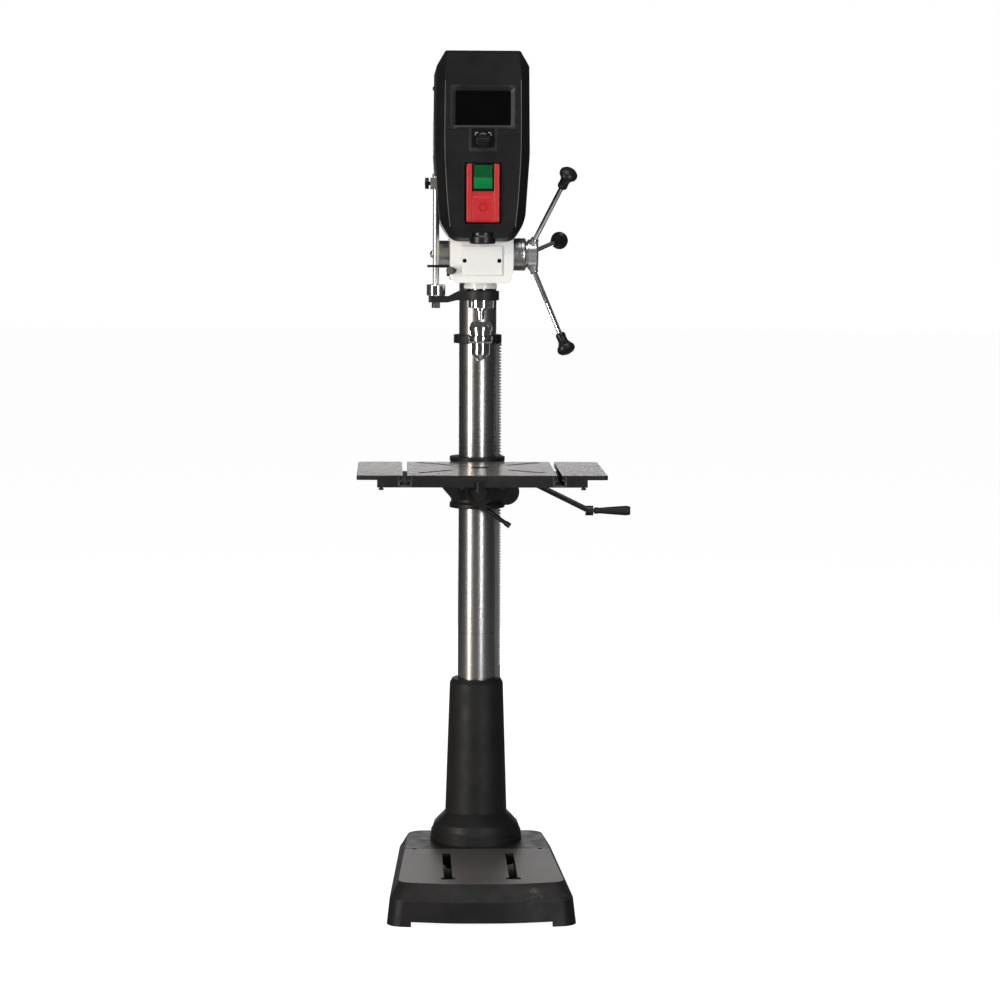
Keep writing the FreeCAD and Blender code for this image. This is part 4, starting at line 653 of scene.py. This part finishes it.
def add_chuck_details():
    """The chuck's sleeve with its ring of key teeth and a knurled band between two dark grooves."""
    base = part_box("chuck_sleeve")[0][2]
    inner, outer = 0.0186, 0.0236
    teeth_top = 0.0040
    band_low, band_high = 0.0060, 0.0135

    def teeth_and_knurl(i, height):
        if height < teeth_top:
            return 0.0007 if i % 6 < 3 else -0.0007
        if band_low <= height <= band_high:
            return 0.00012 if i % 2 else 0.0
        return 0.0

    profile = [(inner, 0.0), (outer - 0.0022, 0.0), (outer - 0.0006, 0.0030), (outer - 0.0014, 0.0046),
               (outer, band_low), (outer, band_high), (outer - 0.0010, 0.0150), (outer - 0.0016, 0.0157),
               (inner, 0.0157), (inner, 0.0)]
    sleeve = lathe("chuck_sleeve_toothed", profile, (0, QUILL_Y, base), (0, 0, 1), "chrome", "chuck_sleeve",
                   180, teeth_and_knurl)
    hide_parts("chuck_sleeve")
    deep, shallow, half_width = outer - 0.0030, outer + 0.0001, 0.0006
    for word, height in (("low", 0.0046), ("high", 0.0146)):
        below, above = height - half_width, height + half_width
        groove = [(deep, below), (shallow, below), (shallow, above), (deep, above), (deep, below)]
        lathe("chuck_groove_" + word, groove, (0, QUILL_Y, base), (0, 0, 1), "dark_steel", "chuck_sleeve")


def add_quill_details():
    """Painted lip of the quill's bore under the head, and the stop ring above the depth collar."""
    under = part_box("head_casting")[0][2]
    collar_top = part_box("depth_collar")[1][2]
    ring_high, clear = 0.0038, 0.0008
    drop = -(under - collar_top - ring_high - clear)
    lip = [(0.0270, 0.001), (0.0336, 0.001), (0.0336, drop + 0.001), (0.0326, drop), (0.0278, drop),
           (0.0270, drop + 0.0006), (0.0270, 0.001)]
    lathe("quill_bore_lip", lip, (0, QUILL_Y, under), (0, 0, 1), "white_enamel", "frame")
    ring = [(0.0259, 0.0001), (0.0290, 0.0001), (0.0296, 0.0010), (0.0296, ring_high - 0.0010),
            (0.0288, ring_high - 0.0002), (0.0259, ring_high), (0.0259, 0.0001)]
    lathe("quill_stop_ring", ring, (0, QUILL_Y, collar_top), (0, 0, 1), "dark_steel", "quill")


def add_rod_scale():
    """Graduations engraved on the lower half of the depth rod."""
    low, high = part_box("depth_rod")
    x, y = (low[0] + high[0]) / 2, (low[1] + high[1]) / 2
    radius = (high[0] - low[0]) / 2 + 0.00003
    marks, first, pitch, half_high = 22, 0.055, 0.005, 0.0002
    steps = 6
    for i in range(marks):
        z = low[2] + first + pitch * i
        spread = math.radians(28 if i % 4 == 0 else 18)
        corners = []
        for k in range(steps + 1):
            angle = -math.pi / 2 - spread + 2 * spread * k / steps
            for rise in (-half_high, half_high):
                corners.append((x + radius * math.cos(angle), y + radius * math.sin(angle), z + rise))
        faces = [(2 * k, 2 * k + 2, 2 * k + 3, 2 * k + 1) for k in range(steps)]
        piece("rod_mark_%d" % i, corners, faces, "knob_black", "quill")


def edge_strip(name, line, front, look, body):
    """A thin raised strip on a face towards -Y, along a line of (x, z) points."""
    half_width, half_thick = 0.0006, 0.0003
    corners, faces = [], []
    for (start_x, start_z), (end_x, end_z) in zip(line, line[1:]):
        start, end = Vector((start_x, 0, start_z)), Vector((end_x, 0, end_z))
        along = (end - start).normalized() * half_width
        across = Vector((-along.z, 0, along.x))
        count = len(corners)
        for y in (front - half_thick, front + half_thick):
            for spot in (start - along - across, end + along - across, end + along + across,
                         start - along + across):
                corners.append(spot + Vector((0, y, 0)))
        faces += [tuple(count + k for k in face) for face in SLAB_FACES]
    piece(name, corners, faces, look, body)


def add_table_details():
    """Machined edges of the T-slot boxes at the table's front."""
    low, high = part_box("table_casting")
    front, top = low[1], high[2]
    for side, word in SIDES:
        x = side * 0.1551
        outer = [(x - 0.0130, top - 0.0035), (x - 0.0130, top - 0.0225), (x + 0.0130, top - 0.0225),
                 (x + 0.0130, top - 0.0035)]
        inner = [(x - 0.0055, top - 0.0090), (x - 0.0055, top - 0.0105), (x - 0.0106, top - 0.0105),
                 (x - 0.0106, top - 0.0206), (x + 0.0106, top - 0.0206), (x + 0.0106, top - 0.0105),
                 (x + 0.0055, top - 0.0105), (x + 0.0055, top - 0.0090)]
        for tag, line in (("outer", outer), ("inner", inner)):
            edge_strip("slot_edge_%s_%s" % (tag, word), line, front, "worn_iron", "table")


add_cover_creases()
add_dial_details()
add_cover_screws()
add_paddle_details()
add_feed_details()
add_chuck_details()
add_quill_details()
add_rod_scale()
add_table_details()


# ---------------------------------------------------------------- studio
def add_camera():
    """A long lens in front of the machine, above the table's height and tilted a little down."""
    yaw, pitch, roll = math.radians(1.991), math.radians(5.463), math.radians(0.262)
    ahead = Vector((math.sin(yaw) * math.cos(pitch), math.cos(yaw) * math.cos(pitch), -math.sin(pitch)))
    level = Vector((math.cos(yaw), -math.sin(yaw), 0))
    up = level.cross(ahead)
    right = level * math.cos(roll) + up * math.sin(roll)
    top = up * math.cos(roll) - level * math.sin(roll)
    data = bpy.data.cameras.new("camera")
    data.lens, data.sensor_width = 109.86, 36.0
    data.clip_end = 100.0
    camera = bpy.data.objects.new("camera", data)
    turn = Matrix((right, top, -ahead)).transposed().to_4x4()
    camera.matrix_world = Matrix.Translation((-0.1763, -6.4826, 1.4330)) @ turn
    bpy.context.scene.collection.objects.link(camera)
    bpy.context.scene.camera = camera


def paper_look():
    """Pale paper that glows evenly where it is seen, but not in the shade under the base."""
    look = Look("floor_paper")
    grain = look.spread(look.noise(3.0, 4.0), 0.3, 0.7)
    look.finish(look.blend(grain, rgb(0.30, 0.30, 0.30), rgb(0.32, 0.32, 0.32)), 0.8)
    low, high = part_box("base_casting")
    middle = (low + high) / 2
    inside = 1.0
    shade, arch_view = 0.15, 0.12
    for name, centre, reach in (("X", middle[0], (high[0] - low[0]) / 2 - 0.05),
                                ("Y", middle[1] + (shade + arch_view) / 2,
                                 (high[1] - low[1] + shade - arch_view) / 2)):
        away = look.maths("ABSOLUTE", look.maths("SUBTRACT", look.axis(name), centre))
        inside = look.product(inside, look.spread(away, reach - 0.03, reach + 0.01, 1.0, 0.0))
    glow = look.node("ShaderNodeEmission")
    look.wire(look.spread(inside, 0.0, 1.0, 0.95, 0.0), glow.inputs["Strength"])
    both = look.node("ShaderNodeAddShader")
    pick = look.node("ShaderNodeMixShader")
    look.wire(look.node("ShaderNodeLightPath").outputs["Is Camera Ray"], pick.inputs[0])
    look.wire(look.shader.outputs[0], pick.inputs[1])
    look.wire(look.shader.outputs[0], both.inputs[0])
    look.wire(glow.outputs[0], both.inputs[1])
    look.wire(both.outputs[0], pick.inputs[2])
    look.wire(pick.outputs[0], look.tree.nodes["Material Output"].inputs["Surface"])
    return look.material


def add_floor():
    """A level paper floor under the machine."""
    half = 30.0
    mesh = bpy.data.meshes.new("floor")
    mesh.from_pydata([(-half, -half, 0), (half, -half, 0), (half, half, 0), (-half, half, 0)], [],
                     [(0, 1, 2, 3)])
    mesh.materials.append(paper_look())
    floor = bpy.data.objects.new("floor", mesh)
    bpy.context.scene.collection.objects.link(floor)


def add_surroundings():
    """A white backdrop, which lights the machine only faintly."""
    world = bpy.data.worlds.new("studio")
    bpy.context.scene.world = world
    world.use_nodes = True
    tree = world.node_tree
    seen = tree.nodes.new("ShaderNodeBackground")
    seen.inputs["Color"].default_value = rgb(1, 1, 1)
    seen.inputs["Strength"].default_value = 1.0
    around = tree.nodes["Background"]
    around.inputs["Color"].default_value = rgb(0.95, 0.97, 1.0)
    around.inputs["Strength"].default_value = 0.085
    path = tree.nodes.new("ShaderNodeLightPath")
    mix = tree.nodes.new("ShaderNodeMixShader")
    tree.links.new(path.outputs["Is Camera Ray"], mix.inputs[0])
    tree.links.new(around.outputs[0], mix.inputs[1])
    tree.links.new(seen.outputs[0], mix.inputs[2])
    tree.links.new(mix.outputs[0], tree.nodes["World Output"].inputs["Surface"])


def add_softbox(name, position, target, size, power, tint=(1, 1, 1)):
    """A rectangular lamp at a position, turned to a target."""
    data = bpy.data.lights.new(name, "AREA")
    data.shape = "RECTANGLE"
    data.size, data.size_y = size
    data.energy = power
    data.color = tint
    light = bpy.data.objects.new(name, data)
    light.location = position
    aim = Vector(target) - Vector(position)
    light.rotation_euler = aim.to_track_quat("-Z", "Y").to_euler()
    bpy.context.scene.collection.objects.link(light)


def add_lights():
    """A tall softbox on each side in front, a large one overhead and a wide one behind."""
    add_softbox("softbox_left", (-3.30, -3.02, 1.3), (0, -0.1, 0.95), (0.5, 2.9), 150, (1.0, 0.94, 0.87))
    add_softbox("softbox_right", (2.05, -4.03, 1.3), (0, -0.1, 0.95), (0.42, 2.9), 84, (0.90, 0.95, 1.0))
    add_softbox("softbox_top", (0.0, -1.4, 4.2), (0, -0.2, 0.9), (2.4, 1.6), 60)
    add_softbox("softbox_rear", (0.0, 4.0, 0.75), (0, 0, 0.8), (3.0, 1.1), 26)


add_camera()
add_floor()
add_surroundings()
add_lights()
bpy.context.scene.view_settings.view_transform = "Standard"
